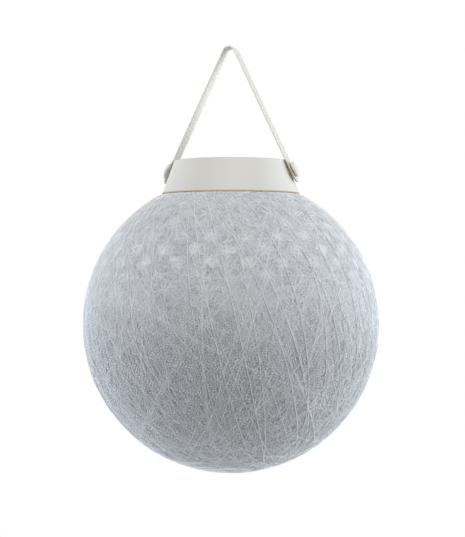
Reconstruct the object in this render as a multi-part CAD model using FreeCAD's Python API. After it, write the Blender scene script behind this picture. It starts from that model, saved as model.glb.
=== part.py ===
import FreeCAD, Part
import math
import os

from FreeCAD import Vector

# Cordless hanging garden lamp: a ball of wound yarn under a conical collar with a strap.
# Millimetres and degrees. The pieces are drawn about the ball's centre and saved about the
# hanging point, which is the underside of the strap's crown. +X runs from stud to stud.

# Shared clearances
seat_gap = 0.3
slide_gap = 0.1
hole_gap = 0.15
overrun = 1.0
root = 0.5
same_place = 1e-6

# Ball: yarn wound and stiffened into a hollow shell with a round mouth
ball_radius = 150.0
yarn_wall = 3.0

# Collar: a moulded cone that sits on the ball, with a bore and a ledge for the light unit
collar_base_radius = 70.0
collar_taper = 12.5
collar_height = 33.8
collar_wall = 2.2
collar_top_rim = 3.5
lip_round = 1.2
bore_round = 0.6
ledge_drop = 6.7
ledge_thickness = 2.5
ledge_reach = 6.0
mouth_inset = 8.0
boss_inset = 5.5
boss_radius = 3.2
boss_rib = 2.0
boss_azimuths = (90.0, 210.0, 330.0)
collar_top_radius = collar_base_radius - collar_taper
collar_bore_radius = collar_top_radius - collar_top_rim
ledge_inner_radius = collar_bore_radius - ledge_reach
mouth_radius = collar_base_radius - mouth_inset
boss_circle_radius = mouth_radius - boss_inset

# Collar screws
collar_screw_radius = 1.5
collar_screw_length = 12.0
collar_screw_head_radius = 3.0
collar_screw_head_height = 2.0
collar_screw_room = 0.5

# Neck ring: clamps the rim of the shell from inside
web_thickness = 2.5
web_reach = 6.5
flange_overlap = 7.0
flange_thickness = 2.5
web_inner_radius = boss_circle_radius - web_reach
flange_outer_radius = mouth_radius + flange_overlap
flange_inner_radius = boss_circle_radius + collar_screw_head_radius + collar_screw_room

# Strap: one length of leather, 20 mm wide, bent over a small crown
strap_lean = 25.6
strap_width = 20.0
strap_thickness = 1.4
strap_tail = 13.0
crown_inner_radius = 4.5

# Studs: mushroom cap, shoulder and post in one turned piece
stud_drop = 11.4
stud_height = collar_height - stud_drop
cap_radius = 8.4
cap_edge = 2.6
cap_dome = 1.2
cap_round = 1.1
shoulder_radius = 3.5
shoulder_length = 1.2
post_radius = 2.0
spacer_radius = 4.6
washer_radius = 4.0
washer_thickness = 1.0
nut_flats = 6.4
nut_thickness = 3.0
post_end = 0.8

# Light unit: housing
housing_gap = 1.0
housing_radius = ledge_inner_radius - housing_gap
housing_wall = 2.0
housing_depth = 32.0
housing_round = 3.0
floor_round = 1.5
lug_reach = 3.5
lug_radius = ledge_inner_radius + lug_reach
lug_height = 2.2
lug_angle = 16.0
lug_azimuths = (30.0, 150.0, 270.0)
notch_angle = 19.0
notch_gap = 0.6
twist_angle = 25.0
stop_angle = 3.0
stop_gap_angle = 1.0
stop_height = 3.0
column_radius = 3.6
column_inset = 5.4
column_grip = 10.5
column_azimuths = (20.0, 160.0, 250.0, 290.0)
column_circle_radius = housing_radius - column_inset
column_seat_height = housing_depth - column_grip

# Light unit: bezel, window and solar panel
bezel_recess = 0.8
bezel_round = 0.8
window_inset = 21.5
window_ledge = 2.5
window_thickness = 1.5
shelf_thickness = 1.9
panel_board_margin = 0.5
panel_board_thickness = 1.6
window_radius = collar_bore_radius - window_inset
panel_opening_radius = window_radius - window_ledge
panel_board_radius = window_radius + panel_board_margin
cell_span_share = 1.366
cell_thickness = 0.4
cell_strips = 6
cell_spacing = 0.6
cell_span = panel_opening_radius * cell_span_share
thumb_distance = (window_radius + collar_bore_radius) / 2
thumb_width = 9.0
thumb_length = 14.0
thumb_depth = 2.5

# Light unit: seal and bezel screws
seal_inset = 3.6
seal_mean_radius = collar_bore_radius - seal_inset
seal_width = 2.2
seal_height = 1.7
bezel_screw_radius = 1.25
bezel_screw_head_radius = 2.6
bezel_screw_head_height = 1.8
bezel_screw_grip = 3.5

# Battery, its bay and its door: a smaller housing takes a smaller cell
cell_radius_share = 0.151
cell_length_share = 1.064
cell_radius = housing_radius * cell_radius_share
cell_length = housing_radius * cell_length_share
cell_nub_radius = 2.75
cell_nub_length = 0.5
bay_distance_share = 0.564
bay_distance = housing_radius * bay_distance_share
bay_margin = 0.9
bay_wall = 1.4
contact_thickness = 0.5
contact_width = 8.0
contact_spring_length = 1.5
contact_spring_radius = 4.0
contact_spring_tip_share = 0.6
door_thickness = 1.8
door_overlap = 1.0
ear_distance_share = 0.67
ear_distance = housing_radius * ear_distance_share
ear_radius = 3.3
ear_boss_radius = 3.0
ear_boss_height = 8.0
door_screw_radius = 1.0
door_screw_head_radius = 1.9
door_screw_head_height = 1.0
door_screw_grip = 6.0

# Circuit board and what stands on it
board_gap = 2.0
board_radius = housing_radius - housing_wall - board_gap
board_thickness = 1.6
board_rise = 0.8
board_post_radius = 2.6
board_post_inset = 17.0
board_post_circle_radius = housing_radius - board_post_inset
board_post_azimuths = (200.0, 270.0, 340.0)
board_screw_radius = 1.0
board_screw_head_radius = 2.0
board_screw_head_height = 1.4
board_screw_grip = 5.0
chip_length = 10.0
chip_width = 6.0
chip_height = 1.6
coil_radius = 4.0
coil_height_share = 0.37
capacitor_radius = 3.0
capacitor_height_share = 0.58
component_distance_share = 0.383
component_distance = housing_radius * component_distance_share
switch_size = 6.0
switch_height = 3.5
switch_plunger_radius = 1.6
switch_plunger_height = 1.0

# Power button
button_inset = 7.0
button_distance = housing_radius - button_inset
button_radius = 3.5
button_flange_radius = 4.4
button_flange_thickness = 1.0
button_stem_radius = 1.5
button_proud = 0.8
button_travel = 1.0
button_web = 3.0

# Lamp board, lamps, diffuser and wires
diffuser_radius_share = 0.287
diffuser_radius = housing_radius * diffuser_radius_share
diffuser_wall = 1.4
diffuser_skirt = 3.0
diffuser_flange_width = 2.0
diffuser_flange_radius = diffuser_radius + diffuser_flange_width
led_board_radius = diffuser_radius - diffuser_wall - slide_gap
led_board_thickness = 1.6
led_size = 3.5
led_height = 0.9
led_count = 6
led_circle_share = 0.625
led_circle_radius = led_board_radius * led_circle_share
diffuser_flange_thickness = 1.5
clip_ring_wall = 1.5
clip_ring_height = 2.5
wire_radius = 0.7
wire_spacing = 7.0
panel_wire_distance = 10.0

# Levels about the ball's centre
full_turn = 360.0
quarter_turn = 90.0
collar_base_z = math.sqrt((ball_radius + seat_gap) ** 2 - collar_base_radius ** 2)
collar_top_z = collar_base_z + collar_height
ledge_z = collar_top_z - ledge_drop
ledge_bottom_z = ledge_z - ledge_thickness
cone_slope = (collar_base_radius - collar_top_radius) / collar_height
wall_across = collar_wall * math.sqrt(1 + cone_slope ** 2)
web_top_z = math.sqrt(ball_radius ** 2 - mouth_radius ** 2)
web_bottom_z = web_top_z - web_thickness
bezel_bottom_z = ledge_z + seat_gap
bezel_top_z = collar_top_z - bezel_recess
window_bottom_z = bezel_top_z - seat_gap - window_thickness
shelf_bottom_z = window_bottom_z - shelf_thickness
housing_bottom_z = bezel_bottom_z - housing_depth
floor_z = housing_bottom_z + housing_wall
column_seat_z = housing_bottom_z + column_seat_height
lug_top_z = ledge_bottom_z - seat_gap
cell_z = housing_bottom_z + door_thickness + seat_gap + cell_radius
bay_roof_z = cell_z + cell_radius + slide_gap + bay_wall
bay_half_width = cell_radius + bay_margin
contact_room = cell_nub_length + contact_spring_length + 2 * contact_thickness
bay_half_length = (cell_length + contact_room) / 2 + slide_gap
board_z = bay_roof_z + board_rise
board_top_z = board_z + board_thickness
component_room = shelf_bottom_z - panel_board_thickness - board_top_z
capacitor_height = component_room * capacitor_height_share
coil_height = component_room * coil_height_share
panel_wire_y = -panel_wire_distance

# Strap lines: each leg is straight and stands square to its outward direction
lean = math.radians(strap_lean)
out_x = math.cos(lean)
out_z = math.sin(lean)
strap_gap = seat_gap
crown_z = collar_top_z + (collar_top_radius * out_x - crown_inner_radius + strap_gap) / out_z
hang_z = crown_z + crown_inner_radius
stud_z = collar_base_z + stud_height
leg_to_stud = (crown_z + crown_inner_radius * out_z - stud_z) / out_x
stud_x = crown_inner_radius * out_x + leg_to_stud * out_z
leg_length = leg_to_stud + strap_tail


def up(z):
    """A point or a rise on the lamp's axis."""
    return Vector(0, 0, z)


def polar(radius, azimuth, z=0):
    """A point at a radius and an azimuth in degrees."""
    angle = math.radians(azimuth)
    return Vector(radius * math.cos(angle), radius * math.sin(angle), z)


def cylinder(radius, low, high, place=Vector(0, 0, 0)):
    """An upright cylinder from one level to another, about an axis through a place."""
    return Part.makeCylinder(radius, high - low, Vector(place.x, place.y, low))


def ring(inner, outer, low, high, place=Vector(0, 0, 0)):
    """A flat ring from one level to another."""
    hole = cylinder(inner, low - overrun, high + overrun, place)
    return cylinder(outer, low, high, place).cut(hole)


def block(length, width, low, high, place=Vector(0, 0, 0)):
    """A box centred on a place, from one level to another."""
    corner = Vector(place.x - length / 2, place.y - width / 2, low)
    return Part.makeBox(length, width, high - low, corner)


def outline(points):
    """A face in the XZ plane through (radius, height, rounding) points."""
    edges, ends = [], []
    for i, (x, z, rounding) in enumerate(points):
        corner = Vector(x, 0, z)
        if not rounding:
            ends.append((corner, corner))
            continue
        before, after = points[i - 1], points[(i + 1) % len(points)]
        back = (Vector(before[0], 0, before[1]) - corner).normalize()
        on = (Vector(after[0], 0, after[1]) - corner).normalize()
        half = back.getAngle(on) / 2
        start = corner + back * (rounding / math.tan(half))
        end = corner + on * (rounding / math.tan(half))
        bisector = (back + on).normalize()
        middle = corner + bisector * (rounding / math.sin(half) - rounding)
        edges.append(Part.Arc(start, middle, end).toShape())
        ends.append((start, end))
    for i, (_, end) in enumerate(ends):
        start = ends[(i + 1) % len(ends)][0]
        if not start.isEqual(end, same_place):
            edges.append(Part.makeLine(end, start))
    return Part.Face(Part.Wire(Part.__sortEdges__(edges)))


def turned(face, angle=full_turn, azimuth=0):
    """A face in the XZ plane, turned about the lamp's axis."""
    solid = face.revolve(up(0), up(1), angle)
    solid.rotate(up(0), up(1), azimuth)
    return solid


def sector(inner, outer, low, high, angle, azimuth):
    """A piece of a flat ring, centred on an azimuth."""
    face = outline([(inner, low, 0), (outer, low, 0), (outer, high, 0), (inner, high, 0)])
    return turned(face, angle, azimuth - angle / 2)


def sphere_point(radius, across):
    """The point of a sphere at a distance from the axis, above the middle."""
    return Vector(across, 0, math.sqrt(radius ** 2 - across ** 2))


def sphere_arc(radius, first, second):
    """An arc of a sphere's outline between two distances from the axis."""
    middle = sphere_point(radius, (first + second) / 2)
    return Part.Arc(sphere_point(radius, first), middle, sphere_point(radius, second)).toShape()


def cone_radius(z):
    """The collar's outer radius at a level."""
    return collar_base_radius - (z - collar_base_z) * cone_slope


def depth_to_cone(inset):
    """How far inwards along a stud's axis the cone lies, from the strap's inner face."""
    line = collar_base_radius + collar_base_z * cone_slope - inset
    return (stud_x + stud_z * cone_slope - line) / (out_x + out_z * cone_slope)


def at_stud(shape, side):
    """A shape drawn on +Z about the strap's inner face, moved to the stud of one side."""
    placed = shape.copy()
    placed.rotate(up(0), Vector(0, 1, 0), quarter_turn - strap_lean)
    placed.translate(Vector(stud_x, 0, stud_z))
    if side < 0:
        placed = placed.mirror(Vector(0, 0, 0), Vector(1, 0, 0))
    return placed


def yarn_shade():
    """A hollow ball with a round mouth at the top."""
    inner_radius = ball_radius - yarn_wall
    outer_edge = sphere_point(ball_radius, mouth_radius)
    inner_edge = sphere_point(inner_radius, mouth_radius)
    edges = [
        Part.Arc(up(-ball_radius), Vector(ball_radius, 0, 0), outer_edge).toShape(),
        Part.makeLine(outer_edge, inner_edge),
        Part.Arc(inner_edge, Vector(inner_radius, 0, 0), up(-inner_radius)).toShape(),
        Part.makeLine(up(-inner_radius), up(-ball_radius)),
    ]
    return turned(Part.Face(Part.Wire(edges)))


def cone_solid(inset, low, high):
    """The inside of the collar's cone, drawn in by an inset across the wall."""
    points = [
        (0, low, 0),
        (cone_radius(low) - inset, low, 0),
        (cone_radius(high) - inset, high, 0),
        (0, high, 0),
    ]
    return turned(outline(points))


def collar_blank():
    """The cone with its ledge, before its bosses and holes."""
    inner_base = collar_base_radius - wall_across
    inner_base_z = sphere_point(ball_radius + seat_gap, inner_base).z
    points = [
        (inner_base, inner_base_z, 0),
        (collar_base_radius, collar_base_z, 0),
        (collar_top_radius, collar_top_z, lip_round),
        (collar_bore_radius, collar_top_z, bore_round),
        (collar_bore_radius, ledge_z, 0),
        (ledge_inner_radius, ledge_z, 0),
        (ledge_inner_radius, ledge_bottom_z, 0),
        (cone_radius(ledge_bottom_z) - wall_across, ledge_bottom_z, 0),
    ]
    return turned(outline(points))


def collar_bosses():
    """Three screw bosses under the ledge, each tied to the wall by a rib."""
    inside = cone_solid(wall_across / 2, collar_base_z, ledge_bottom_z)
    shapes = []
    for azimuth in boss_azimuths:
        place = polar(boss_circle_radius, azimuth)
        boss = cylinder(boss_radius, web_top_z, ledge_bottom_z + root, place)
        rib_length = collar_base_radius - boss_circle_radius
        rib_place = Vector(boss_circle_radius + rib_length / 2, 0, 0)
        rib = block(rib_length, boss_rib, web_top_z + web_thickness, ledge_bottom_z, rib_place)
        rib.rotate(up(0), up(1), azimuth)
        shapes += [boss, rib.common(inside)]
    return shapes


def collar():
    """The moulded cone with bosses, bayonet notches, stops and stud holes."""
    body = collar_blank()
    for shape in collar_bosses():
        body = body.fuse(shape)
    stop_low = ledge_bottom_z - stop_height
    stop_inner = ledge_inner_radius + notch_gap
    stop_offset = (lug_angle + stop_angle) / 2 + stop_gap_angle
    for azimuth in lug_azimuths:
        for place in (azimuth - stop_offset, azimuth + twist_angle + stop_offset):
            body = body.fuse(
                sector(stop_inner, collar_bore_radius, stop_low, ledge_bottom_z, stop_angle, place)
            )
        notch = sector(
            ledge_inner_radius - overrun,
            lug_radius + notch_gap,
            ledge_bottom_z - overrun,
            ledge_z + overrun,
            notch_angle,
            azimuth + twist_angle,
        )
        body = body.cut(notch)
    for azimuth in boss_azimuths:
        place = polar(boss_circle_radius, azimuth)
        depth = collar_screw_length - web_thickness + overrun
        hole = cylinder(collar_screw_radius + slide_gap, web_top_z, web_top_z + depth, place)
        body = body.cut(hole)
    bore = Part.makeCylinder(post_radius + hole_gap, 2 * collar_bore_radius, up(-collar_bore_radius))
    for side in (1, -1):
        body = body.cut(at_stud(bore, side))
    return body.removeSplitter()


def neck_ring():
    """A flat web inside the mouth and a flange that follows the inside of the ball."""
    upper = ball_radius - yarn_wall - slide_gap
    lower = upper - flange_thickness
    inner_end = sphere_point(lower, flange_inner_radius)
    web_outer = mouth_radius - root
    corners = [
        Vector(flange_inner_radius, 0, web_bottom_z),
        Vector(web_inner_radius, 0, web_bottom_z),
        Vector(web_inner_radius, 0, web_top_z),
        Vector(web_outer, 0, web_top_z),
        sphere_point(upper, web_outer),
    ]
    edges = [Part.makeLine(inner_end, corners[0])]
    edges += [Part.makeLine(a, b) for a, b in zip(corners, corners[1:])]
    edges.append(sphere_arc(upper, web_outer, flange_outer_radius))
    edges.append(
        Part.makeLine(
            sphere_point(upper, flange_outer_radius), sphere_point(lower, flange_outer_radius)
        )
    )
    edges.append(sphere_arc(lower, flange_outer_radius, flange_inner_radius))
    body = turned(Part.Face(Part.Wire(edges)))
    for azimuth in boss_azimuths:
        place = polar(boss_circle_radius, azimuth)
        hole = collar_screw_radius + hole_gap
        body = body.cut(cylinder(hole, web_bottom_z - overrun, web_top_z + overrun, place))
    return body


def screw(head_radius, head_height, shank_radius, seat_z, tip_z, place):
    """A plain screw: its head lies beyond the seat, on the side away from the tip."""
    away = 1 if seat_z > tip_z else -1
    levels = sorted((seat_z, seat_z + away * head_height))
    head = cylinder(head_radius, levels[0], levels[1], place)
    shank = cylinder(shank_radius, min(seat_z, tip_z), max(seat_z, tip_z), place)
    return head.fuse(shank).removeSplitter()


def collar_screws():
    """Three screws from inside the neck up into the collar's bosses."""
    return [
        screw(
            collar_screw_head_radius,
            collar_screw_head_height,
            collar_screw_radius,
            web_bottom_z,
            web_bottom_z + collar_screw_length,
            polar(boss_circle_radius, azimuth),
        )
        for azimuth in boss_azimuths
    ]


def strap_outline():
    """The strap seen from its edge: two straight legs and the crown."""
    crown = up(crown_z)
    out = Vector(out_x, 0, out_z)
    down = Vector(out_z, 0, -out_x)
    mirrored = [Vector(-v.x, 0, v.z) for v in (out, down)]
    edges, feet = [], []
    for radius in (crown_inner_radius, crown_inner_radius + strap_thickness):
        right, left = crown + out * radius, crown + mirrored[0] * radius
        right_foot, left_foot = right + down * leg_length, left + mirrored[1] * leg_length
        edges += [
            Part.makeLine(right_foot, right),
            Part.Arc(right, crown + up(radius), left).toShape(),
            Part.makeLine(left, left_foot),
        ]
        feet.append((right_foot, left_foot))
    edges += [Part.makeLine(inner, outer) for inner, outer in zip(*feet)]
    return Part.Face(Part.Wire(Part.__sortEdges__(edges)))


def handle_strap():
    """One strap with round ends and a hole for each stud."""
    face = strap_outline()
    face.translate(Vector(0, -strap_width / 2, 0))
    strap = face.extrude(Vector(0, strap_width, 0))
    half = strap_width / 2
    low, high = -overrun, strap_thickness + overrun
    foot = Vector(half - strap_tail, 0, 0)
    corner_block = block(strap_width, strap_width + 2 * overrun, low, high)
    corner_block.translate(Vector(foot.x - half, 0, 0))
    trim = corner_block.cut(cylinder(half, low - overrun, high + overrun, foot))
    trim.rotate(up(0), up(1), full_turn / 2)
    hole = cylinder(post_radius + seat_gap, low, high)
    for side in (1, -1):
        strap = strap.cut(at_stud(trim, side)).cut(at_stud(hole, side))
    return strap


def stud(side):
    """A mushroom cap on a shoulder, with a post through strap and collar."""
    shoulder_z = strap_thickness + slide_gap
    under_cap = shoulder_z + shoulder_length
    cap_side = under_cap + cap_edge
    cap_top = cap_side + cap_dome
    post_bottom = -depth_to_cone(wall_across) - washer_thickness - nut_thickness - post_end
    dome_radius = (cap_radius ** 2 + cap_dome ** 2) / (2 * cap_dome)
    dome_centre = up(cap_top - dome_radius)
    dome = Part.makeSphere(dome_radius, dome_centre)
    cap = cylinder(cap_radius, under_cap, cap_top).common(dome)
    rims = [e for e in cap.Edges if e.Length > cap_radius * math.pi]
    cap = cap.makeFillet(min(cap_round, cap_edge / 2 - slide_gap), rims)
    body = cap.fuse(cylinder(shoulder_radius, shoulder_z, under_cap))
    body = body.fuse(cylinder(post_radius, post_bottom, shoulder_z))
    return at_stud(body.removeSplitter(), side)


def stud_spacers():
    """Wedge bushes between the strap and the cone."""
    low = -depth_to_cone(0) - cone_slope * spacer_radius
    blank = ring(post_radius + hole_gap, spacer_radius, low, -slide_gap)
    cone = collar_blank()
    return [at_stud(blank, side).cut(cone) for side in (1, -1)]


def stud_washers():
    """Washers that follow the inside of the cone."""
    wall = depth_to_cone(wall_across)
    high = -wall + cone_slope * washer_radius
    blank = ring(post_radius + hole_gap, washer_radius, -wall - washer_thickness, high)
    cone = collar_blank()
    return [at_stud(blank, side).cut(cone) for side in (1, -1)]


def stud_nuts():
    """Hexagon nuts inside the collar."""
    high = -depth_to_cone(wall_across) - washer_thickness
    low = high - nut_thickness
    corner = nut_flats / math.sqrt(3)
    sides = 6
    corners = [polar(corner, i * full_turn / sides, low) for i in range(sides)]
    hexagon = Part.Face(Part.makePolygon(corners + corners[:1]))
    nut = hexagon.extrude(up(nut_thickness))
    nut = nut.cut(cylinder(post_radius + slide_gap, low - overrun, high + overrun))
    return [at_stud(nut, side) for side in (1, -1)]


def battery_bay():
    """The tub over the battery, with bosses for the door screws."""
    place = Vector(0, bay_distance, 0)
    length, width = 2 * (bay_half_length + bay_wall), 2 * (bay_half_width + bay_wall)
    tub = block(length, width, housing_bottom_z, bay_roof_z, place)
    for side in (1, -1):
        ear = Vector(side * ear_distance, bay_distance, 0)
        tub = tub.fuse(cylinder(ear_boss_radius, housing_bottom_z, floor_z + ear_boss_height, ear))
    return tub.common(cylinder(housing_radius - root, housing_bottom_z, bay_roof_z))


def bay_room():
    """The space inside the bay, with the slots for the two contact tabs."""
    place = Vector(0, bay_distance, 0)
    room = block(
        2 * bay_half_length,
        2 * bay_half_width,
        housing_bottom_z - overrun,
        bay_roof_z - bay_wall,
        place,
    )
    for side in (1, -1):
        slot_place = Vector(side * (bay_half_length - contact_thickness), bay_distance, 0)
        slot = block(
            2 * contact_thickness,
            contact_width + 2 * slide_gap,
            floor_z,
            bay_roof_z + overrun,
            slot_place,
        )
        room = room.fuse(slot)
    return room


def door_shape(gap, low, high):
    """The battery door's plan: a plate with a round ear at each end."""
    length = 2 * (bay_half_length + door_overlap - gap)
    width = 2 * (bay_half_width + door_overlap - gap)
    plate = block(length, width, low, high, Vector(0, bay_distance, 0))
    tab = block(2 * ear_distance, 2 * (ear_radius - gap), low, high, Vector(0, bay_distance, 0))
    plate = plate.fuse(tab)
    for side in (1, -1):
        ear = Vector(side * ear_distance, bay_distance, 0)
        plate = plate.fuse(cylinder(ear_radius - gap, low, high, ear))
    return plate.removeSplitter()


def unit_housing():
    """The light unit's cup, with lugs, columns, posts, battery bay and clip ring."""
    inner = housing_radius - housing_wall
    points = [
        (0, housing_bottom_z, 0),
        (housing_radius, housing_bottom_z, housing_round),
        (housing_radius, bezel_bottom_z, 0),
        (inner, bezel_bottom_z, 0),
        (inner, floor_z, floor_round),
        (0, floor_z, 0),
    ]
    body = turned(outline(points))
    for azimuth in lug_azimuths:
        low = lug_top_z - lug_height
        body = body.fuse(sector(inner + root, lug_radius, low, lug_top_z, lug_angle, azimuth))
    for azimuth in column_azimuths:
        place = polar(column_circle_radius, azimuth)
        body = body.fuse(cylinder(column_radius, floor_z - root, bezel_bottom_z, place))
    for azimuth in board_post_azimuths:
        place = polar(board_post_circle_radius, azimuth)
        body = body.fuse(cylinder(board_post_radius, floor_z - root, board_z, place))
    body = body.fuse(battery_bay())
    clip_inner = diffuser_flange_radius + hole_gap
    clip_outer = clip_inner + clip_ring_wall
    clip_low = housing_bottom_z - clip_ring_height
    body = body.fuse(ring(clip_inner, clip_outer, clip_low, housing_bottom_z + root))
    body = body.cut(bay_room())
    body = body.cut(door_shape(0, housing_bottom_z - overrun, housing_bottom_z + door_thickness))
    return drilled_housing(body).removeSplitter()


def drilled_housing(body):
    """The housing with its screw holes and wire holes."""
    for azimuth in column_azimuths:
        place = polar(column_circle_radius, azimuth)
        sink = bezel_screw_head_radius + seat_gap
        body = body.cut(cylinder(sink, housing_bottom_z - overrun, column_seat_z, place))
        hole = bezel_screw_radius + slide_gap
        body = body.cut(cylinder(hole, column_seat_z - root, bezel_bottom_z + overrun, place))
    for azimuth in board_post_azimuths:
        place = polar(board_post_circle_radius, azimuth)
        hole = board_screw_radius + slide_gap
        body = body.cut(cylinder(hole, board_z - board_screw_grip, board_z + overrun, place))
    for side in (1, -1):
        ear = Vector(side * ear_distance, bay_distance, 0)
        hole = door_screw_radius + slide_gap
        seat = housing_bottom_z + door_thickness
        body = body.cut(cylinder(hole, seat - overrun, seat + door_screw_grip, ear))
        wire = Vector(side * wire_spacing / 2, 0, 0)
        hole = wire_radius + hole_gap
        body = body.cut(cylinder(hole, housing_bottom_z - overrun, floor_z + overrun, wire))
    return body


def top_bezel():
    """The ring round the solar panel, with thumb pockets and the button's guide."""
    recess = panel_board_radius + hole_gap
    rebate = window_radius + hole_gap
    points = [
        (recess, bezel_bottom_z, 0),
        (collar_bore_radius - 2 * seat_gap, bezel_bottom_z, 0),
        (collar_bore_radius - 2 * seat_gap, bezel_top_z, bezel_round),
        (rebate, bezel_top_z, 0),
        (rebate, window_bottom_z, 0),
        (panel_opening_radius, window_bottom_z, 0),
        (panel_opening_radius, shelf_bottom_z, 0),
        (recess, shelf_bottom_z, 0),
    ]
    body = turned(outline(points))
    seal_half = seal_width / 2
    groove_top = bezel_bottom_z + seal_height - seat_gap + slide_gap
    body = body.cut(
        ring(
            seal_mean_radius - seal_half,
            seal_mean_radius + seal_half,
            bezel_bottom_z - overrun,
            groove_top,
        )
    )
    pocket_z = bezel_top_z - thumb_depth
    end = (thumb_length - thumb_width) / 2
    for side in (1, -1):
        place = Vector(side * thumb_distance, 0, 0)
        body = body.cut(block(thumb_width, 2 * end, pocket_z, bezel_top_z + overrun, place))
        for shift in (end, -end):
            round_place = place + Vector(0, shift, 0)
            body = body.cut(
                cylinder(thumb_width / 2, pocket_z, bezel_top_z + overrun, round_place)
            )
    for azimuth in column_azimuths:
        place = polar(column_circle_radius, azimuth)
        hole = bezel_screw_radius + slide_gap
        high = bezel_bottom_z + bezel_screw_grip + root
        body = body.cut(cylinder(hole, bezel_bottom_z - overrun, high, place))
    button = Vector(0, -button_distance, 0)
    sink_top = bezel_top_z - button_web
    sink = button_flange_radius + 2 * slide_gap
    body = body.cut(cylinder(sink, bezel_bottom_z - overrun, sink_top, button))
    guide = button_radius + slide_gap
    return body.cut(cylinder(guide, sink_top - root, bezel_top_z + overrun, button))


def seal_ring():
    """The seal between bezel and ledge."""
    half = seal_width / 2 - slide_gap
    low = ledge_z + slide_gap
    return ring(seal_mean_radius - half, seal_mean_radius + half, low, low + seal_height - slide_gap)


def bezel_screws():
    """Four screws up through the columns into the bezel."""
    return [
        screw(
            bezel_screw_head_radius,
            bezel_screw_head_height,
            bezel_screw_radius,
            column_seat_z,
            bezel_bottom_z + bezel_screw_grip,
            polar(column_circle_radius, azimuth),
        )
        for azimuth in column_azimuths
    ]


def panel_window():
    """The clear disc over the solar panel."""
    return cylinder(window_radius, window_bottom_z, window_bottom_z + window_thickness)


def solar_cells():
    """Strips of solar cell on the panel board."""
    pitch = cell_span / cell_strips
    width = pitch - cell_spacing
    high = shelf_bottom_z + cell_thickness
    first = (pitch - cell_span) / 2
    return [
        block(width, cell_span, shelf_bottom_z, high, Vector(first + i * pitch, 0, 0))
        for i in range(cell_strips)
    ]


def panel_board():
    """The disc that carries the cells, under the bezel's shelf."""
    return cylinder(panel_board_radius, shelf_bottom_z - panel_board_thickness, shelf_bottom_z)


def panel_leads():
    """Two wires from the solar panel down to the circuit board."""
    high = shelf_bottom_z - panel_board_thickness
    places = [Vector(side * wire_spacing / 2, panel_wire_y, 0) for side in (1, -1)]
    return [cylinder(wire_radius, board_top_z, high, place) for place in places]


def circuit_board():
    """A round board that clears the columns."""
    board = cylinder(board_radius, board_z, board_top_z)
    for azimuth in column_azimuths:
        place = polar(column_circle_radius, azimuth)
        notch = column_radius + 2 * seat_gap
        board = board.cut(cylinder(notch, board_z - overrun, board_top_z + overrun, place))
    for azimuth in board_post_azimuths:
        place = polar(board_post_circle_radius, azimuth)
        hole = board_screw_radius + slide_gap
        board = board.cut(cylinder(hole, board_z - overrun, board_top_z + overrun, place))
    return board


def board_components():
    """Charging chip, driver chip, coil and capacitors."""
    shapes = []
    for side in (1, -1):
        chip = Vector(side * component_distance, 0, 0)
        shapes.append(block(chip_length, chip_width, board_top_z, board_top_z + chip_height, chip))
        can = Vector(side * component_distance, component_distance, 0)
        high = board_top_z + capacitor_height
        shapes.append(cylinder(capacitor_radius, board_top_z, high, can))
    coil = Vector(0, component_distance, 0)
    shapes.append(cylinder(coil_radius, board_top_z, board_top_z + coil_height, coil))
    return shapes


def board_screws():
    """Three screws down into the housing's posts."""
    return [
        screw(
            board_screw_head_radius,
            board_screw_head_height,
            board_screw_radius,
            board_top_z,
            board_z - board_screw_grip + root,
            polar(board_post_circle_radius, azimuth),
        )
        for azimuth in board_post_azimuths
    ]


def tact_switch():
    """The small push switch under the button."""
    place = Vector(0, -button_distance, 0)
    top = board_top_z + switch_height
    base = block(switch_size, switch_size, board_top_z, top, place)
    return base.fuse(cylinder(switch_plunger_radius, top, top + switch_plunger_height, place))


def power_button():
    """A round button with a retaining flange and a stem down to the switch."""
    place = Vector(0, -button_distance, 0)
    flange_top = bezel_top_z - button_web
    flange_low = flange_top - button_flange_thickness
    stem_low = board_top_z + switch_height + switch_plunger_height + button_travel + slide_gap
    body = cylinder(button_radius, flange_top, bezel_top_z + button_proud, place)
    body = body.fuse(cylinder(button_flange_radius, flange_low, flange_top, place))
    return body.fuse(cylinder(button_stem_radius, stem_low, flange_low, place))


def battery():
    """One cylindrical cell lying across the housing."""
    start = Vector(-bay_half_length + contact_room - cell_nub_length - contact_thickness, 0, 0)
    start += Vector(slide_gap, bay_distance, cell_z)
    can = Part.makeCylinder(cell_radius, cell_length, start, Vector(1, 0, 0))
    tip = start + Vector(cell_length, 0, 0)
    nub = Part.makeCylinder(cell_nub_radius, cell_nub_length, tip, Vector(1, 0, 0))
    return can.fuse(nub)


def battery_contacts():
    """A plate at each end of the cell, one with a spring cone, with tabs to the board."""
    shapes = []
    for side in (1, -1):
        middle = side * (bay_half_length - slide_gap - contact_thickness / 2)
        low = housing_bottom_z + door_thickness + seat_gap
        place = Vector(middle, bay_distance, 0)
        shapes.append(block(contact_thickness, contact_width, low, board_z, place))
    foot = Vector(-bay_half_length + slide_gap + contact_thickness, bay_distance, cell_z)
    tip_radius = contact_spring_radius * contact_spring_tip_share
    spring = Part.makeCone(
        contact_spring_radius, tip_radius, contact_spring_length, foot, Vector(1, 0, 0)
    )
    shapes[1] = shapes[1].fuse(spring)
    return shapes


def battery_door():
    """The screwed plate under the battery."""
    door = door_shape(seat_gap, housing_bottom_z, housing_bottom_z + door_thickness)
    for side in (1, -1):
        ear = Vector(side * ear_distance, bay_distance, 0)
        top = housing_bottom_z + door_thickness + overrun
        hole = door_screw_radius + hole_gap
        door = door.cut(cylinder(hole, housing_bottom_z - overrun, top, ear))
        sink = door_screw_head_radius + hole_gap
        seat = housing_bottom_z + door_screw_head_height
        door = door.cut(cylinder(sink, housing_bottom_z - overrun, seat, ear))
    return door


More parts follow.
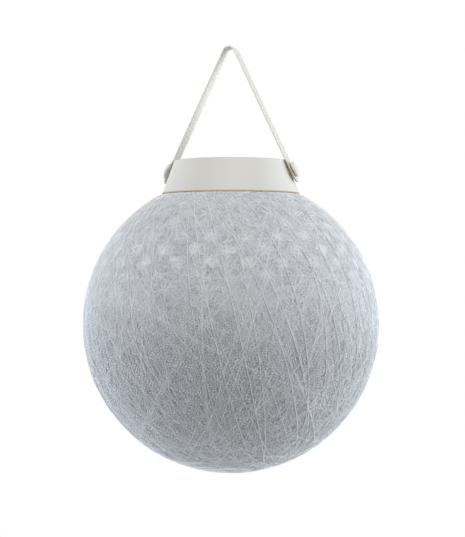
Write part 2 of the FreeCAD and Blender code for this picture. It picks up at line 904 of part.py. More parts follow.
def door_screws():
    """Two screws that hold the battery door."""
    seat = housing_bottom_z + door_screw_head_height
    tip = housing_bottom_z + door_thickness + door_screw_grip - root
    return [
        screw(
            door_screw_head_radius,
            door_screw_head_height,
            door_screw_radius,
            seat,
            tip,
            Vector(side * ear_distance, bay_distance, 0),
        )
        for side in (1, -1)
    ]


def led_board():
    """The round board under the housing that carries the lamps."""
    return cylinder(led_board_radius, housing_bottom_z - led_board_thickness, housing_bottom_z)


def leds():
    """A ring of lamps that shine down into the ball."""
    high = housing_bottom_z - led_board_thickness
    shapes = []
    for i in range(led_count):
        azimuth = i * full_turn / led_count
        lamp = block(led_size, led_size, high - led_height, high, Vector(led_circle_radius, 0, 0))
        lamp.rotate(up(0), up(1), azimuth)
        shapes.append(lamp)
    return shapes


def led_leads():
    """Two wires from the circuit board through the housing's floor to the lamp board."""
    places = [Vector(side * wire_spacing / 2, 0, 0) for side in (1, -1)]
    return [cylinder(wire_radius, housing_bottom_z, board_z, place) for place in places]


def diffuser():
    """A frosted dome with a flange that clips under the housing."""
    flange_low = housing_bottom_z - diffuser_flange_thickness
    skirt_z = housing_bottom_z - diffuser_skirt
    inner = diffuser_radius - diffuser_wall
    slant = math.sqrt(1 / 2)
    edges = [
        Part.makeLine(Vector(inner, 0, housing_bottom_z), Vector(inner, 0, skirt_z)),
        Part.Arc(
            Vector(inner, 0, skirt_z),
            Vector(inner * slant, 0, skirt_z - inner * slant),
            up(skirt_z - inner),
        ).toShape(),
        Part.makeLine(up(skirt_z - inner), up(skirt_z - diffuser_radius)),
        Part.Arc(
            up(skirt_z - diffuser_radius),
            Vector(diffuser_radius * slant, 0, skirt_z - diffuser_radius * slant),
            Vector(diffuser_radius, 0, skirt_z),
        ).toShape(),
    ]
    corners = [
        Vector(diffuser_radius, 0, skirt_z),
        Vector(diffuser_radius, 0, flange_low),
        Vector(diffuser_flange_radius, 0, flange_low),
        Vector(diffuser_flange_radius, 0, housing_bottom_z),
        Vector(inner, 0, housing_bottom_z),
    ]
    edges += [Part.makeLine(a, b) for a, b in zip(corners, corners[1:])]
    return turned(Part.Face(Part.Wire(edges)))


def save(name, made):
    """Moves a piece to the hanging point's frame and writes it."""
    shape = Part.makeCompound(made) if isinstance(made, list) else made
    shape = shape.copy()
    shape.translate(up(-hang_z))
    shape.exportStep("parts/" + name + ".step")


pieces = {
    "yarn_shade": yarn_shade(),
    "neck_ring": neck_ring(),
    "collar": collar(),
    "collar_screws": collar_screws(),
    "stud_left": stud(-1),
    "stud_right": stud(1),
    "stud_spacers": stud_spacers(),
    "stud_washers": stud_washers(),
    "stud_nuts": stud_nuts(),
    "handle_strap": handle_strap(),
    "unit_housing": unit_housing(),
    "top_bezel": top_bezel(),
    "seal_ring": seal_ring(),
    "bezel_screws": bezel_screws(),
    "panel_window": panel_window(),
    "solar_cells": solar_cells(),
    "panel_board": panel_board(),
    "panel_leads": panel_leads(),
    "circuit_board": circuit_board(),
    "board_components": board_components(),
    "board_screws": board_screws(),
    "tact_switch": tact_switch(),
    "power_button": power_button(),
    "battery": battery(),
    "battery_contacts": battery_contacts(),
    "battery_door": battery_door(),
    "door_screws": door_screws(),
    "led_board": led_board(),
    "leds": leds(),
    "led_leads": led_leads(),
    "diffuser": diffuser(),
}

os.makedirs("parts", exist_ok=True)
for name, made in pieces.items():
    save(name, made)
print("hanging point above the ball's centre:", round(hang_z, 3))
print("stud centre below the hanging point:", round(stud_z - hang_z, 3), "at x", round(stud_x, 3))
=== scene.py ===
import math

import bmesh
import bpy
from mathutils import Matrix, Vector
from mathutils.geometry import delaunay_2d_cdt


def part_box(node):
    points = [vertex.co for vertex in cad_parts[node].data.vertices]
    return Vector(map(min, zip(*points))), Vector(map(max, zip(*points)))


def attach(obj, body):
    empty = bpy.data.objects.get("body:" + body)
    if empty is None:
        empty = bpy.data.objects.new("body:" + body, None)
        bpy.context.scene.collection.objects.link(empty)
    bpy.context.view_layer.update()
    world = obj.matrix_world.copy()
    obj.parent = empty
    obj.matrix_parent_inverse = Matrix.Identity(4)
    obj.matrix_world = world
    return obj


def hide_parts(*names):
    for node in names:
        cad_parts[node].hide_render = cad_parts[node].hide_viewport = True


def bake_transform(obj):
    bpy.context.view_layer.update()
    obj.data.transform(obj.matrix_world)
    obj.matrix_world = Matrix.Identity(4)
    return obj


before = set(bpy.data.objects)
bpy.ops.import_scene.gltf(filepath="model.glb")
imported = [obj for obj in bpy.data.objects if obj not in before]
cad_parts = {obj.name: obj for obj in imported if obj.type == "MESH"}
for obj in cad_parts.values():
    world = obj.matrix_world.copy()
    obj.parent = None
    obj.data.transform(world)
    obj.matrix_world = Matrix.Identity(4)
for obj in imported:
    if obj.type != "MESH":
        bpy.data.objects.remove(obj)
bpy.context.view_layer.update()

# %% [markdown]
# # A cotton ball lamp
# The lamp is a 300 mm ball of stiffened yarn under a moulded collar, with a strap that makes an
# upright loop and a light unit that sits in the collar. Everything here is in metres, in the
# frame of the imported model: the origin is the underside of the strap's crown, and +Z is up.
# The first cell takes the lamp's own sizes from the frame, so that each later piece can be placed
# from them instead of from typed numbers.

MM = 0.001
FULL_TURN = math.tau

shade_low, shade_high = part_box("yarn_shade")
ball_radius = (shade_high[0] - shade_low[0]) / 2
ball_z = shade_low[2] + ball_radius
mouth_radius = math.sqrt(ball_radius**2 - (shade_high[2] - ball_z) ** 2)
collar_low, collar_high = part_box("collar")
collar_base_radius = (collar_high[0] - collar_low[0]) / 2
collar_top = collar_high[2]
strap_low, strap_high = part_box("handle_strap")
print("ball radius", round(ball_radius, 4), "m, mouth radius", round(mouth_radius, 4), "m")

# %% [markdown]
# ## Camera
# The photograph is a level view from a little above the ball's middle, with a long lens, turned
# about 14 degrees round the lamp so that the right-hand stud is nearer. A level camera with a
# shift of a few pixels keeps the ball a true circle, which a tilted camera would not.

# %% The camera
PICTURE_HEIGHT = 537
AXIS_PIXELS_LEFT = 1.6
CAMERA_AZIMUTH = math.radians(14.5)
CAMERA_DISTANCE = 1.632
CAMERA_RISE = 57 * MM
LENS_MM = 107.3

camera_data = bpy.data.cameras.new("camera")
camera_data.lens = LENS_MM
camera_data.sensor_width = 36.0
camera_data.shift_x = AXIS_PIXELS_LEFT / PICTURE_HEIGHT
camera_data.clip_end = 50.0
camera = bpy.data.objects.new("camera", camera_data)
camera.location = (
    CAMERA_DISTANCE * math.sin(CAMERA_AZIMUTH),
    -CAMERA_DISTANCE * math.cos(CAMERA_AZIMUTH),
    ball_z + CAMERA_RISE,
)
camera.rotation_euler = (math.pi / 2, 0, CAMERA_AZIMUTH)
bpy.context.collection.objects.link(camera)
bpy.context.scene.camera = camera
print("camera at", tuple(round(x, 3) for x in camera.location))

# %% [markdown]
# ## Helpers
# Colours are written as sRGB hex, as a paint chart gives them, and one function turns them into
# the linear numbers that shaders use. One small function adds a node of any kind to a tree, sets
# it and links it, so that a tree reads as a list of what goes into what. A pattern's size is
# given in millimetres, and one over it is the scale that its node takes. Pieces are made as plain
# meshes at the origin, in place, so that a pattern on Object coordinates stays where it belongs.

# %% Colour, node and object helpers
SMOOTH = {"interpolation_type": "SMOOTHSTEP"}
COLOURS = {"data_type": "RGBA"}


def colour(code):
    """A linear colour with alpha from an sRGB hex code."""
    channels = [int(code[i : i + 2], 16) / 255 for i in (0, 2, 4)]
    return (*[c / 12.92 if c <= 0.04045 else ((c + 0.055) / 1.055) ** 2.4 for c in channels], 1.0)


def give(node, inputs):
    """Gives a node's live inputs, by name or number, values or hex codes or links from others."""
    live = [socket for socket in node.inputs if socket.enabled]
    for key, value in inputs.items():
        socket = live[key] if isinstance(key, int) else next(s for s in live if s.name == key)
        if isinstance(value, bpy.types.Node):
            value = next(s for s in value.outputs if s.enabled)
        if isinstance(value, bpy.types.NodeSocket):
            node.id_data.links.new(value, socket)
        else:
            coded = socket.type == "RGBA" and isinstance(value, str)
            socket.default_value = colour(value) if coded else value


def add(tree, kind, *inputs, **settings):
    """Adds a node with its settings, and with its inputs in order or in one dictionary.

    A kind in capitals is a Math node's operation.
    """
    if kind.isupper():
        kind, settings["operation"] = "ShaderNodeMath", kind
    node = tree.nodes.new(kind)
    for name, value in settings.items():
        setattr(node, name, value)
    give(node, inputs[0] if inputs and isinstance(inputs[0], dict) else dict(enumerate(inputs)))
    return node


def polar(tree, place):
    """A place's x, y, z, its reach from the Z axis, and its turn about it."""
    x, y, z = add(tree, "ShaderNodeSeparateXYZ", place).outputs
    flat = add(tree, "ShaderNodeCombineXYZ", x, y)
    reach = add(tree, "ShaderNodeVectorMath", flat, operation="LENGTH")
    return x, y, z, reach, add(tree, "ARCTAN2", y, x)


def start_material(name, code, roughness, ior=1.5, **values):
    """A material with a Principled shader, its tree and the shader."""
    made = bpy.data.materials.new(name)
    made.use_nodes = True
    tree = made.node_tree
    tree.nodes.clear()
    named = {socket.replace("_", " "): value for socket, value in values.items()}
    inputs = {"Base Color": code, "Roughness": roughness, "IOR": ior, **named}
    shader = add(tree, "ShaderNodeBsdfPrincipled", inputs)
    add(tree, "ShaderNodeOutputMaterial", shader)
    return made, tree, shader


def surface(name, code, roughness, **values):
    """A material, its tree and shader, and the place on the surface."""
    made, tree, shader = start_material(name, code, roughness, **values)
    return made, tree, shader, add(tree, "ShaderNodeTexCoord").outputs["Object"]


def uneven(tree, shader, noise, spread):
    """Lets the gloss wander by a noise about the shader's own roughness."""
    middle = shader.inputs["Roughness"].default_value
    give(shader, {"Roughness": add(tree, "MULTIPLY_ADD", noise, spread, middle - spread / 2)})


def add_piece(name, mesh):
    """An object at the origin for a finished mesh."""
    piece = bpy.data.objects.new(name, mesh)
    bpy.context.collection.objects.link(piece)
    return piece


def bmesh_to_mesh(name, made):
    """A smooth mesh from a bmesh, with its faces turned outwards."""
    bmesh.ops.recalc_face_normals(made, faces=made.faces)
    mesh = bpy.data.meshes.new(name)
    made.to_mesh(mesh)
    made.free()
    mesh.shade_smooth()
    return mesh


print("hex 808080 is", round(colour("808080")[0], 3), "in linear light")

# %% [markdown]
# ## Stage and light
# The photograph is a cut-out on pure white in soft light: the ball is brightest at its rims and
# top and darkest low in front, as when white walls stand beside and behind it. So two large soft
# boxes stand at the sides, a little behind the lamp, and one hangs in front, above the camera,
# where it lights the collar and the ball's upper half. The world is white to the camera and to
# reflections and a soft grey to everything else, so the white costs the object no extra light.
# The floor under the lamp is real white paint and takes its shadow. Further out it turns to the
# same white as the world, so no horizon shows. A lamp hangs, so people look at it from below too,
# and for that the floor is clear when it is seen from underneath.

# %% The stage
WORLD_LEVEL = 0.37
WHITE_LIGHT = {"Color": (1, 1, 1, 1), "Strength": 1.0}
FLOOR_DROP, FLOOR_HALF = 0.9, 6.0
FLOOR_FADE = (1.0, 1.9)


def seen_directly(tree):
    """1 for camera, mirror and glass rays, 0 for the rays that light the object."""
    rays = add(tree, "ShaderNodeLightPath").outputs
    either = add(tree, "MAXIMUM", rays["Is Camera Ray"], rays["Is Glossy Ray"])
    return add(tree, "MAXIMUM", either, rays["Is Transmission Ray"])


world = bpy.data.worlds.new("white studio")
bpy.context.scene.world = world
world.use_nodes = True
sky = world.node_tree
sky.nodes.clear()
soft = add(sky, "ShaderNodeBackground", {"Color": "fffcf5", "Strength": WORLD_LEVEL})
white = add(sky, "ShaderNodeBackground", WHITE_LIGHT)
add(sky, "ShaderNodeOutputWorld", add(sky, "ShaderNodeMixShader", seen_directly(sky), soft, white))

floor_z = shade_low[2] - FLOOR_DROP
floor_mesh = bpy.data.meshes.new("floor")
corners = [(x * FLOOR_HALF, y * FLOOR_HALF, floor_z) for x in (-1, 1) for y in (-1, 1)]
floor_mesh.from_pydata(corners, [], [(0, 2, 3, 1)])
floor = add_piece("floor", floor_mesh)
floor_paint, tree, shader, place = surface("white floor paint", "dededd", 0.9)
reach = add(tree, "ShaderNodeVectorMath", place, operation="LENGTH")
fade = add(tree, "ShaderNodeMapRange", reach, *FLOOR_FADE, **SMOOTH)
far_share = add(tree, "MULTIPLY", fade, seen_directly(tree))
far_white = add(tree, "ShaderNodeEmission", WHITE_LIGHT)
top_side = add(tree, "ShaderNodeMixShader", far_share, shader, far_white)
from_below = add(tree, "ShaderNodeNewGeometry").outputs["Backfacing"]
see_through = add(tree, "MULTIPLY", from_below, seen_directly(tree))
clear_floor = add(tree, "ShaderNodeBsdfTransparent")
one_sided = add(tree, "ShaderNodeMixShader", see_through, top_side, clear_floor)
give(next(n for n in tree.nodes if n.type == "OUTPUT_MATERIAL"), {"Surface": one_sided})
floor_mesh.materials.append(floor_paint)


def soft_box(name, azimuth, rise, width, height, watts, code, distance=1.5):
    """A large lamp that looks at the ball's middle, from an azimuth counted from the camera."""
    data = bpy.data.lights.new(name, "AREA")
    data.shape = "RECTANGLE"
    data.size, data.size_y = width, height
    data.energy = watts
    data.color = colour(code)[:3]
    turn, up = CAMERA_AZIMUTH + math.radians(azimuth), math.radians(rise)
    away = Vector((math.sin(turn) * math.cos(up), -math.cos(turn) * math.cos(up), math.sin(up)))
    lamp = bpy.data.objects.new(name, data)
    lamp.location = Vector((0, 0, ball_z)) + away * distance
    lamp.rotation_euler = away.to_track_quat("Z", "Y").to_euler()
    lamp.visible_camera = False
    bpy.context.collection.objects.link(lamp)


soft_box("left_box", -108, -16, width=1.3, height=1.6, watts=26, code="e6f2ff")
soft_box("right_box", 100, -6, width=1.3, height=1.5, watts=24.5, code="eef7ff")
soft_box("front_top_box", 0, 50, width=1.4, height=1.4, watts=13.2, code="fafcff")
bpy.context.scene.view_settings.view_transform = "Standard"

# %% [markdown]
# ## The yarn ball: how it is wound
# The real ball is yarn soaked in stiffener and wound round a balloon by a machine, which turns
# the ball by the same step for every wrap. Each wrap is a great circle, and a layer is a ring of
# them through evenly spaced points of one latitude. That is what the photograph shows: pale
# puffs in staggered rows near the top, stars where the wraps of a layer meet, and single long
# threads over a felt of fine ones. A bump texture would give the grain but not the threads' own
# shadows or the ragged outline, so the threads are tubes, made by Geometry Nodes.
#
# The puffs lie where two sets of slanting lines cross. This function adds the nodes for that to
# a tree. From a place about the ball's centre they give 1 in the middle of a puff and 0 on the
# lines between, and how pale the place is: paler in the puffs, and paler towards the top, which is
# partly the thicker layer there and partly painted top light. The puffs fade out towards the
# ball's middle, and they are half as strong next to the collar, where the layer is drawn tight.

# %% The puff pattern
PUFF_COUNT = 25
PUFF_ROW = math.radians(5.6)
PUFF_ROW_START = math.radians(2.2)
PUFF_TURN_START = math.radians(3.0)
PUFF_EDGE = (0.3, 0.75)
PUFF_FADE = (math.radians(-2), math.radians(26))
COLLAR_FADE, COLLAR_FADE_SHARE = (math.radians(28), math.radians(50)), 0.5
TOP_LIGHT_FADE = (math.radians(-30), math.radians(38))
PUFF_SHARE = 0.4


def puff_pattern(tree, place):
    """How much a place puffs, and how pale it is, paler to the top partly as painted top light."""
    _, _, z, reach, longitude = polar(tree, place)
    latitude = add(tree, "ARCTAN2", z, reach)
    above_start = add(tree, "SUBTRACT", latitude, PUFF_ROW_START)
    past_start = add(tree, "SUBTRACT", longitude, PUFF_TURN_START)
    rows = add(tree, "MULTIPLY", above_start, math.pi / 2 / PUFF_ROW)
    turns = add(tree, "MULTIPLY", past_start, PUFF_COUNT / 2)
    first, second = (
        add(tree, "ABSOLUTE", add(tree, "COSINE", add(tree, kind, rows, turns)))
        for kind in ("ADD", "SUBTRACT")
    )
    crossing = add(tree, "MULTIPLY", first, second)
    puff, fade, near_collar, height = (
        add(tree, "ShaderNodeMapRange", value, *ends, **SMOOTH)
        for value, ends in (
            (crossing, PUFF_EDGE),
            (latitude, PUFF_FADE),
            (latitude, COLLAR_FADE),
            (latitude, TOP_LIGHT_FADE),
        )
    )
    tight = add(tree, "MULTIPLY_ADD", near_collar, -COLLAR_FADE_SHARE, 1.0)
    puff = add(tree, "MULTIPLY", puff, add(tree, "MULTIPLY", fade, tight))
    # Paler towards the top: partly the thicker layer, partly painted top light.
    by_height = add(tree, "MULTIPLY", height, 1 - PUFF_SHARE)
    return puff, add(tree, "MULTIPLY_ADD", puff, PUFF_SHARE, by_height)


print(PUFF_COUNT, "puffs in a row, rows", round(ball_radius * PUFF_ROW, 4), "m apart")

# %% [markdown]
# ## The yarn ball: one layer as a node tree
# One tree makes every layer, so its sizes are named inputs. It works in three stages, each a
# function that adds its nodes. In the first, points round the ball become circles or arcs, each
# turned to its node and slope. Every random number comes from the layer's seed.

# %% The layer's inputs and its wraps
STORE, STORED = "GeometryNodeStoreNamedAttribute", "GeometryNodeInputNamedAttribute"
KINDS = {int: "NodeSocketInt", bool: "NodeSocketBool", float: "NodeSocketFloat"}
SOCKETS = {
    "Threads": 24,
    "Nodes": 24,
    "Steps": 144,
    "Whole Wrap": True,
    "Sweep": 0.1,
    "Sides": 3,
    "Ball Radius": ball_radius,
    "Node Latitude": 0.0,
    "Node Turn": 0.0,
    "Slope": 0.0,
    "Slope Reach": 0.0,
    "Turn Scatter": 0.01,
    "Latitude Scatter": 0.0,
    "Layer Low": -0.6 * MM,
    "Layer High": 0.0,
    "Puff Height": 0.4 * MM,
    "Tone Depth": 1.0 * MM,
    "Weave Height": 0.75 * MM,
    "Weave Length": 8 * MM,
    "Thread Radius": 0.3 * MM,
    "Cut Radius": 60 * MM,
    "Collar Radius": collar_base_radius,
    "Pressed Depth": 0.4 * MM,
    "Seed": 1,
}


def wrap_lines(tree, given):
    """Circles or arcs about the ball's centre, one for each thread, with a tone of its own."""
    index = add(tree, "GeometryNodeInputIndex")

    def chance(offset, low=0.0):
        seed = add(tree, "ADD", given["Seed"], float(offset))
        inputs = {"Min": low, "Max": 1.0, "ID": index, "Seed": seed}
        return add(tree, "FunctionNodeRandomValue", inputs, data_type="FLOAT")

    def scattered(offset, reach):
        return add(tree, "MULTIPLY", chance(offset, -1.0), given[reach])

    pitch = add(tree, "DIVIDE", FULL_TURN, given["Nodes"])
    even_turn = add(tree, "MULTIPLY_ADD", index, pitch, given["Node Turn"])
    turn = add(tree, "ADD", even_turn, scattered(1, "Turn Scatter"))
    spread = add(tree, "ARCSINE", scattered(2, "Slope Reach"))
    roll = add(tree, "SUBTRACT", math.pi / 2, add(tree, "ADD", given["Slope"], spread))
    latitude = add(tree, "ADD", given["Node Latitude"], scattered(5, "Latitude Scatter"))
    tip = add(tree, "MULTIPLY", latitude, -1.0)
    ends = {"To Min": given["Layer Low"], "To Max": given["Layer High"]}
    level = add(tree, "ShaderNodeMapRange", {"Value": chance(3), **ends})
    circle = add(tree, "GeometryNodeMeshCircle", given["Steps"], 1.0)
    arc = {
        "Resolution": given["Steps"],
        "Radius": 1.0,
        "Start Angle": add(tree, "MULTIPLY", given["Sweep"], -0.5),
        "Sweep Angle": given["Sweep"],
    }
    arc = add(tree, "GeometryNodeCurveToMesh", add(tree, "GeometryNodeCurveArc", arc))
    ends = {"Switch": given["Whole Wrap"], "False": arc, "True": circle}
    points = add(tree, "GeometryNodePoints", given["Threads"])
    wraps = {
        "Points": add(tree, STORE, points, True, "tone", chance(4)),
        "Instance": add(tree, "GeometryNodeSwitch", ends, input_type="GEOMETRY"),
        "Rotation": add(tree, "ShaderNodeCombineXYZ", roll, tip, turn),
        "Scale": add(tree, "ADD", given["Ball Radius"], level),
    }
    wraps = add(tree, "GeometryNodeInstanceOnPoints", wraps)
    return add(tree, "GeometryNodeRealizeInstances", wraps)


print("a layer has", len(SOCKETS), "sizes to set")

# %% [markdown]
# In the second stage the part of each line that would cross the mouth is cut away, and what
# passes under the collar is pressed flat, as the collar presses it. Lines rise where the pattern
# puffs, and each weaves up and down by a noise of its own, less so where the place is pale,
# because heaped threads lie side by side. A thread's tone is its own, and on top of it shade is
# painted: the thread is darker where it lies deep and paler where it lies high.

# %% The weaving of the lines
PALE_CALM, OWN_WEAVE, OWN_TONE, DEPTH_SHADE_TONE = 0.85, 40.0, 0.5, 0.7
RIM_GAPS = (0.5 * MM, 5 * MM)


def woven_lines(tree, given, lines):
    """The lines cut, woven and moved down to the ball, with their tones kept on them."""
    tone = add(tree, STORED, "tone")
    place = add(tree, "GeometryNodeInputPosition")
    _, _, z, across, _ = polar(tree, place)
    upper = add(tree, "GREATER_THAN", z, 0.0)
    in_mouth = add(tree, "MULTIPLY", add(tree, "LESS_THAN", across, given["Cut Radius"]), upper)
    cut = add(tree, "GeometryNodeDeleteGeometry", lines, in_mouth, domain="POINT")

    reach = add(tree, "ShaderNodeVectorMath", place, operation="LENGTH")
    puff, pale = puff_pattern(tree, place)
    noise_place = {
        "Vector": place,
        "W": add(tree, "MULTIPLY", tone, OWN_WEAVE),
        "Scale": add(tree, "DIVIDE", 1.0, given["Weave Length"]),
        "Detail": 0.0,
    }
    weave = add(tree, "ShaderNodeTexNoise", noise_place, noise_dimensions="4D")
    calm = add(tree, "MULTIPLY_ADD", pale, -PALE_CALM, 1.0)
    weave = add(tree, "MULTIPLY", add(tree, "SUBTRACT", weave, 0.5), calm)
    weave_depth = add(tree, "MULTIPLY", given["Weave Height"], 2.0)
    puffed = add(tree, "MULTIPLY_ADD", puff, given["Puff Height"], reach)
    lifted = add(tree, "MULTIPLY_ADD", weave, weave_depth, puffed)
    flat = add(tree, "SUBTRACT", given["Ball Radius"], given["Pressed Depth"])
    pressed = add(tree, "MINIMUM", reach, flat)
    rim = [add(tree, "ADD", given["Collar Radius"], gap) for gap in RIM_GAPS]
    free = add(tree, "ShaderNodeMapRange", across, *rim, **SMOOTH)
    free = add(tree, "MAXIMUM", free, add(tree, "SUBTRACT", 1.0, upper))
    new_reach = add(tree, "ShaderNodeMix", free, pressed, lifted, data_type="FLOAT")
    stretch = add(tree, "DIVIDE", new_reach, reach)
    moved = add(tree, "ShaderNodeVectorMath", place, stretch, operation="SCALE")

    # Painted shade by depth: a thread is darker where it lies deep, paler where it lies high.
    height = add(tree, "SUBTRACT", lifted, given["Ball Radius"])
    height = add(tree, "DIVIDE", height, given["Tone Depth"])
    by_height = add(tree, "MULTIPLY_ADD", height, DEPTH_SHADE_TONE, 0.5)
    shaded_tone = add(tree, "MULTIPLY_ADD", tone, OWN_TONE, by_height)
    marked = add(tree, STORE, cut, True, "pale", pale)
    marked = add(tree, STORE, marked, True, "shaded_tone", shaded_tone)
    shaped = add(tree, "GeometryNodeSetPosition", {"Geometry": marked, "Position": moved})
    return add(tree, "GeometryNodeSetPosition", {"Geometry": shaped, "Offset": (0, 0, ball_z)})


print("lines are pressed flat to within", RIM_GAPS[1], "m of the collar's rim")

# %% [markdown]
# In the third stage each line gets a thin tube. A baked picture can't hold thousands of threads
# one by one, so the tube's own map has 8 x 8 strips, one for each tone and each step from dark
# places to pale ones. A tube lies in the strips of its tone and places, along them by its length.

# %% The tubes and their map
TONES, PALE_LEVELS, BELOW_NEXT = 8, 8, 0.01


def thread_tubes(tree, given, lines):
    """Tubes along the lines, with the strips of their map."""
    tone, pale, shaded_tone, along, around = (
        add(tree, STORED, name) for name in ("tone", "pale", "shaded_tone", "along", "around")
    )
    factor = add(tree, "GeometryNodeSplineParameter")
    curves = add(tree, "GeometryNodeMeshToCurve", lines)
    section = {"Resolution": given["Sides"], "Radius": given["Thread Radius"]}
    section = add(tree, "GeometryNodeCurvePrimitiveCircle", section)
    tubes = {
        "Curve": add(tree, STORE, curves, True, "along", factor),
        "Profile Curve": add(tree, STORE, section, True, "around", factor),
        "Fill Caps": True,
    }
    tubes = add(tree, "GeometryNodeCurveToMesh", tubes)
    level = add(tree, "MULTIPLY_ADD", pale, PALE_LEVELS - 1 - BELOW_NEXT, tone)
    kept = add(tree, "ShaderNodeClamp", shaded_tone)
    step = add(tree, "FLOOR", add(tree, "MULTIPLY", kept, TONES - BELOW_NEXT))
    strip = add(tree, "MULTIPLY_ADD", add(tree, "FLOOR", level), float(TONES), step)
    whole = add(tree, "GeometryNodeFieldOnDomain", strip, data_type="FLOAT", domain="FACE")
    in_strip = add(tree, "ADD", add(tree, "FLOOR", whole), around)
    across = add(tree, "DIVIDE", in_strip, float(TONES * PALE_LEVELS))
    map_place = add(tree, "ShaderNodeCombineXYZ", across, along)
    corners = {"data_type": "FLOAT2", "domain": "CORNER"}
    mapped = add(tree, STORE, tubes, True, "OFBake", map_place, **corners)
    smooth = add(tree, "GeometryNodeSetShadeSmooth", mapped)
    return add(tree, "GeometryNodeRealizeInstances", smooth)


def winding_tree():
    """The tree of one layer: its named inputs and its three stages."""
    tree = bpy.data.node_groups.new("yarn winding", "GeometryNodeTree")
    sockets = tree.interface
    for name, value in SOCKETS.items():
        kind = KINDS[type(value)]
        sockets.new_socket(name, in_out="INPUT", socket_type=kind).default_value = value
    sockets.new_socket("Material", in_out="INPUT", socket_type="NodeSocketMaterial")
    sockets.new_socket("Geometry", in_out="OUTPUT", socket_type="NodeSocketGeometry")
    given = add(tree, "NodeGroupInput").outputs
    lines = woven_lines(tree, given, wrap_lines(tree, given))
    tubes = {"Geometry": thread_tubes(tree, given, lines), "Material": given["Material"]}
    add(tree, "NodeGroupOutput", add(tree, "GeometryNodeSetMaterial", tubes))
    return tree


def plain_mesh(name, tree, **values):
    """Runs a Geometry Nodes tree with these inputs and returns a plain mesh of the result."""
    holder = add_piece(name + "_holder", bpy.data.meshes.new(name + "_start"))
    modifier = holder.modifiers.new("tree", "NODES")
    modifier.node_group = tree
    names = {s.name: s.identifier for s in tree.interface.items_tree if s.in_out == "INPUT"}
    for key, value in values.items():
        modifier[names[key.replace("_", " ")]] = value
    graph = bpy.context.evaluated_depsgraph_get()
    mesh = bpy.data.meshes.new_from_object(holder.evaluated_get(graph), depsgraph=graph)
    bpy.data.objects.remove(holder)
    mesh.name = name
    for left in ("tone", "shaded_tone", "pale", "along", "around"):
        if left in mesh.attributes:
            mesh.attributes.remove(mesh.attributes[left])
    return mesh


def join_meshes(name, meshes):
    """One mesh from several in the same frame."""
    made = bmesh.new()
    for mesh in meshes:
        made.from_mesh(mesh)
    joined = meshes[0].copy()
    joined.name = name
    made.to_mesh(joined)
    made.free()
    return joined


winding = winding_tree()
print("winding tree with", len(winding.nodes), "nodes")

# %% [markdown]
# ## The yarn ball: cotton
# Cotton yarn is soft and slightly fuzzy, with a broad sheen and no gloss. Each thread has its own
# tone between two pale cool greys, and the puffed and upper places are paler, partly because
# there the layer is thick and partly as painted top light. The thread is two plies twisted
# together, and the shade in the groove that winds along it is painted, as a little darker colour.
# Both the tones and this painted groove shade are weaker where the place is pale, since light
# that is scattered inside the heap evens them out.

# %% Yarn materials
TWISTS, GROOVE_SHADE_MEAN = 300.0, 0.92
TONE_SHARE, HIDDEN_TONE, SMOOTHING = 0.85, 0.8, 1.35


def yarn_material(name, dark, pale, groove_shade_depth=0.93, heap=0.95):
    """Twisted cotton: tone, paleness and painted groove shade each shift it between two tints."""
    made, tree, shader = start_material(name, pale, 0.92, Sheen_Weight=0.15, Sheen_Roughness=0.5)
    map_place = add(tree, "ShaderNodeUVMap", uv_map="OFBake")
    map_across, along, _ = add(tree, "ShaderNodeSeparateXYZ", map_place).outputs
    scaled = add(tree, "MULTIPLY", map_across, float(TONES * PALE_LEVELS))
    strip = add(tree, "FLOOR", scaled)
    level = add(tree, "FLOOR", add(tree, "DIVIDE", strip, float(TONES)))
    tone = add(tree, "DIVIDE", add(tree, "MODULO", strip, float(TONES)), TONES - 1.0)
    paleness = add(tree, "DIVIDE", level, PALE_LEVELS - 1.0)
    turns = add(tree, "MULTIPLY_ADD", along, TWISTS, scaled)
    wave = add(tree, "SINE", add(tree, "MULTIPLY", turns, FULL_TURN))
    # Painted shade in the groove between the two plies, once in each twist.
    groove_shade = add(tree, "MULTIPLY_ADD", add(tree, "MAXIMUM", wave, 0.0), -2.0, GROOVE_SHADE_MEAN)
    smoothed = add(tree, "MINIMUM", add(tree, "MULTIPLY", paleness, SMOOTHING), 1.0)
    depth = add(tree, "MULTIPLY_ADD", smoothed, -groove_shade_depth, groove_shade_depth)
    tone_share = add(tree, "MULTIPLY_ADD", smoothed, -HIDDEN_TONE, TONE_SHARE)
    share = add(tree, "MULTIPLY_ADD", tone, tone_share, add(tree, "MULTIPLY", paleness, heap))
    share = add(tree, "MULTIPLY_ADD", groove_shade, depth, share)
    give(shader, {"Base Color": add(tree, "ShaderNodeMix", share, dark, pale, **COLOURS)})
    return made


# Three tints are painted light and shade on the same cotton: the deep one is a little darker, for
# the shade on the lowest felt; the outer one is paler, for the light on the threads on top; the
# shaded one is darker still, for the shade of the grooves beside the long threads.
fine_yarn = yarn_material("fine cotton yarn", "92919b", "f8fbff")
deep_shaded_yarn = yarn_material("deep cotton yarn", "908f98", "f4f7fb")
heaped_yarn = yarn_material("heaped cotton yarn", "cdd3d8", "f6f9fb", 0.3)
outer_lit_yarn = yarn_material("outer cotton yarn", "e4e7ec", "f8fafc", 0.1)
shaded_yarn = yarn_material("shaded cotton yarn", "9ea2aa", "c2c6cd", 0.1)
print("five tints of cotton yarn in", TONES * PALE_LEVELS, "strips")

# %% [markdown]
# The layers, from the inside out: four layers of felt, whose whole wraps run in every direction,
# then the rows. For these the machine tilts the ball by the same angle after each ring of wraps,
# so the wraps of a ring are level at one latitude, and their tops make a row of scallops there.
# These wraps are arcs of a little over half a turn, because the rows show only in the upper half,
# and short runs of thread are heaped in the middle of each scallop. Two more layers have whole
# wraps that share nodes on one latitude and so make stars.

# %% The felt
FELT_LAYERS, FELT_LOW, FELT_STEP, FELT_DEPTH = 4, -0.9 * MM, 0.11 * MM, 0.5 * MM


def layer(name, seed, **values):
    return plain_mesh(name, winding, Seed=seed, **{"Material": fine_yarn, **values})


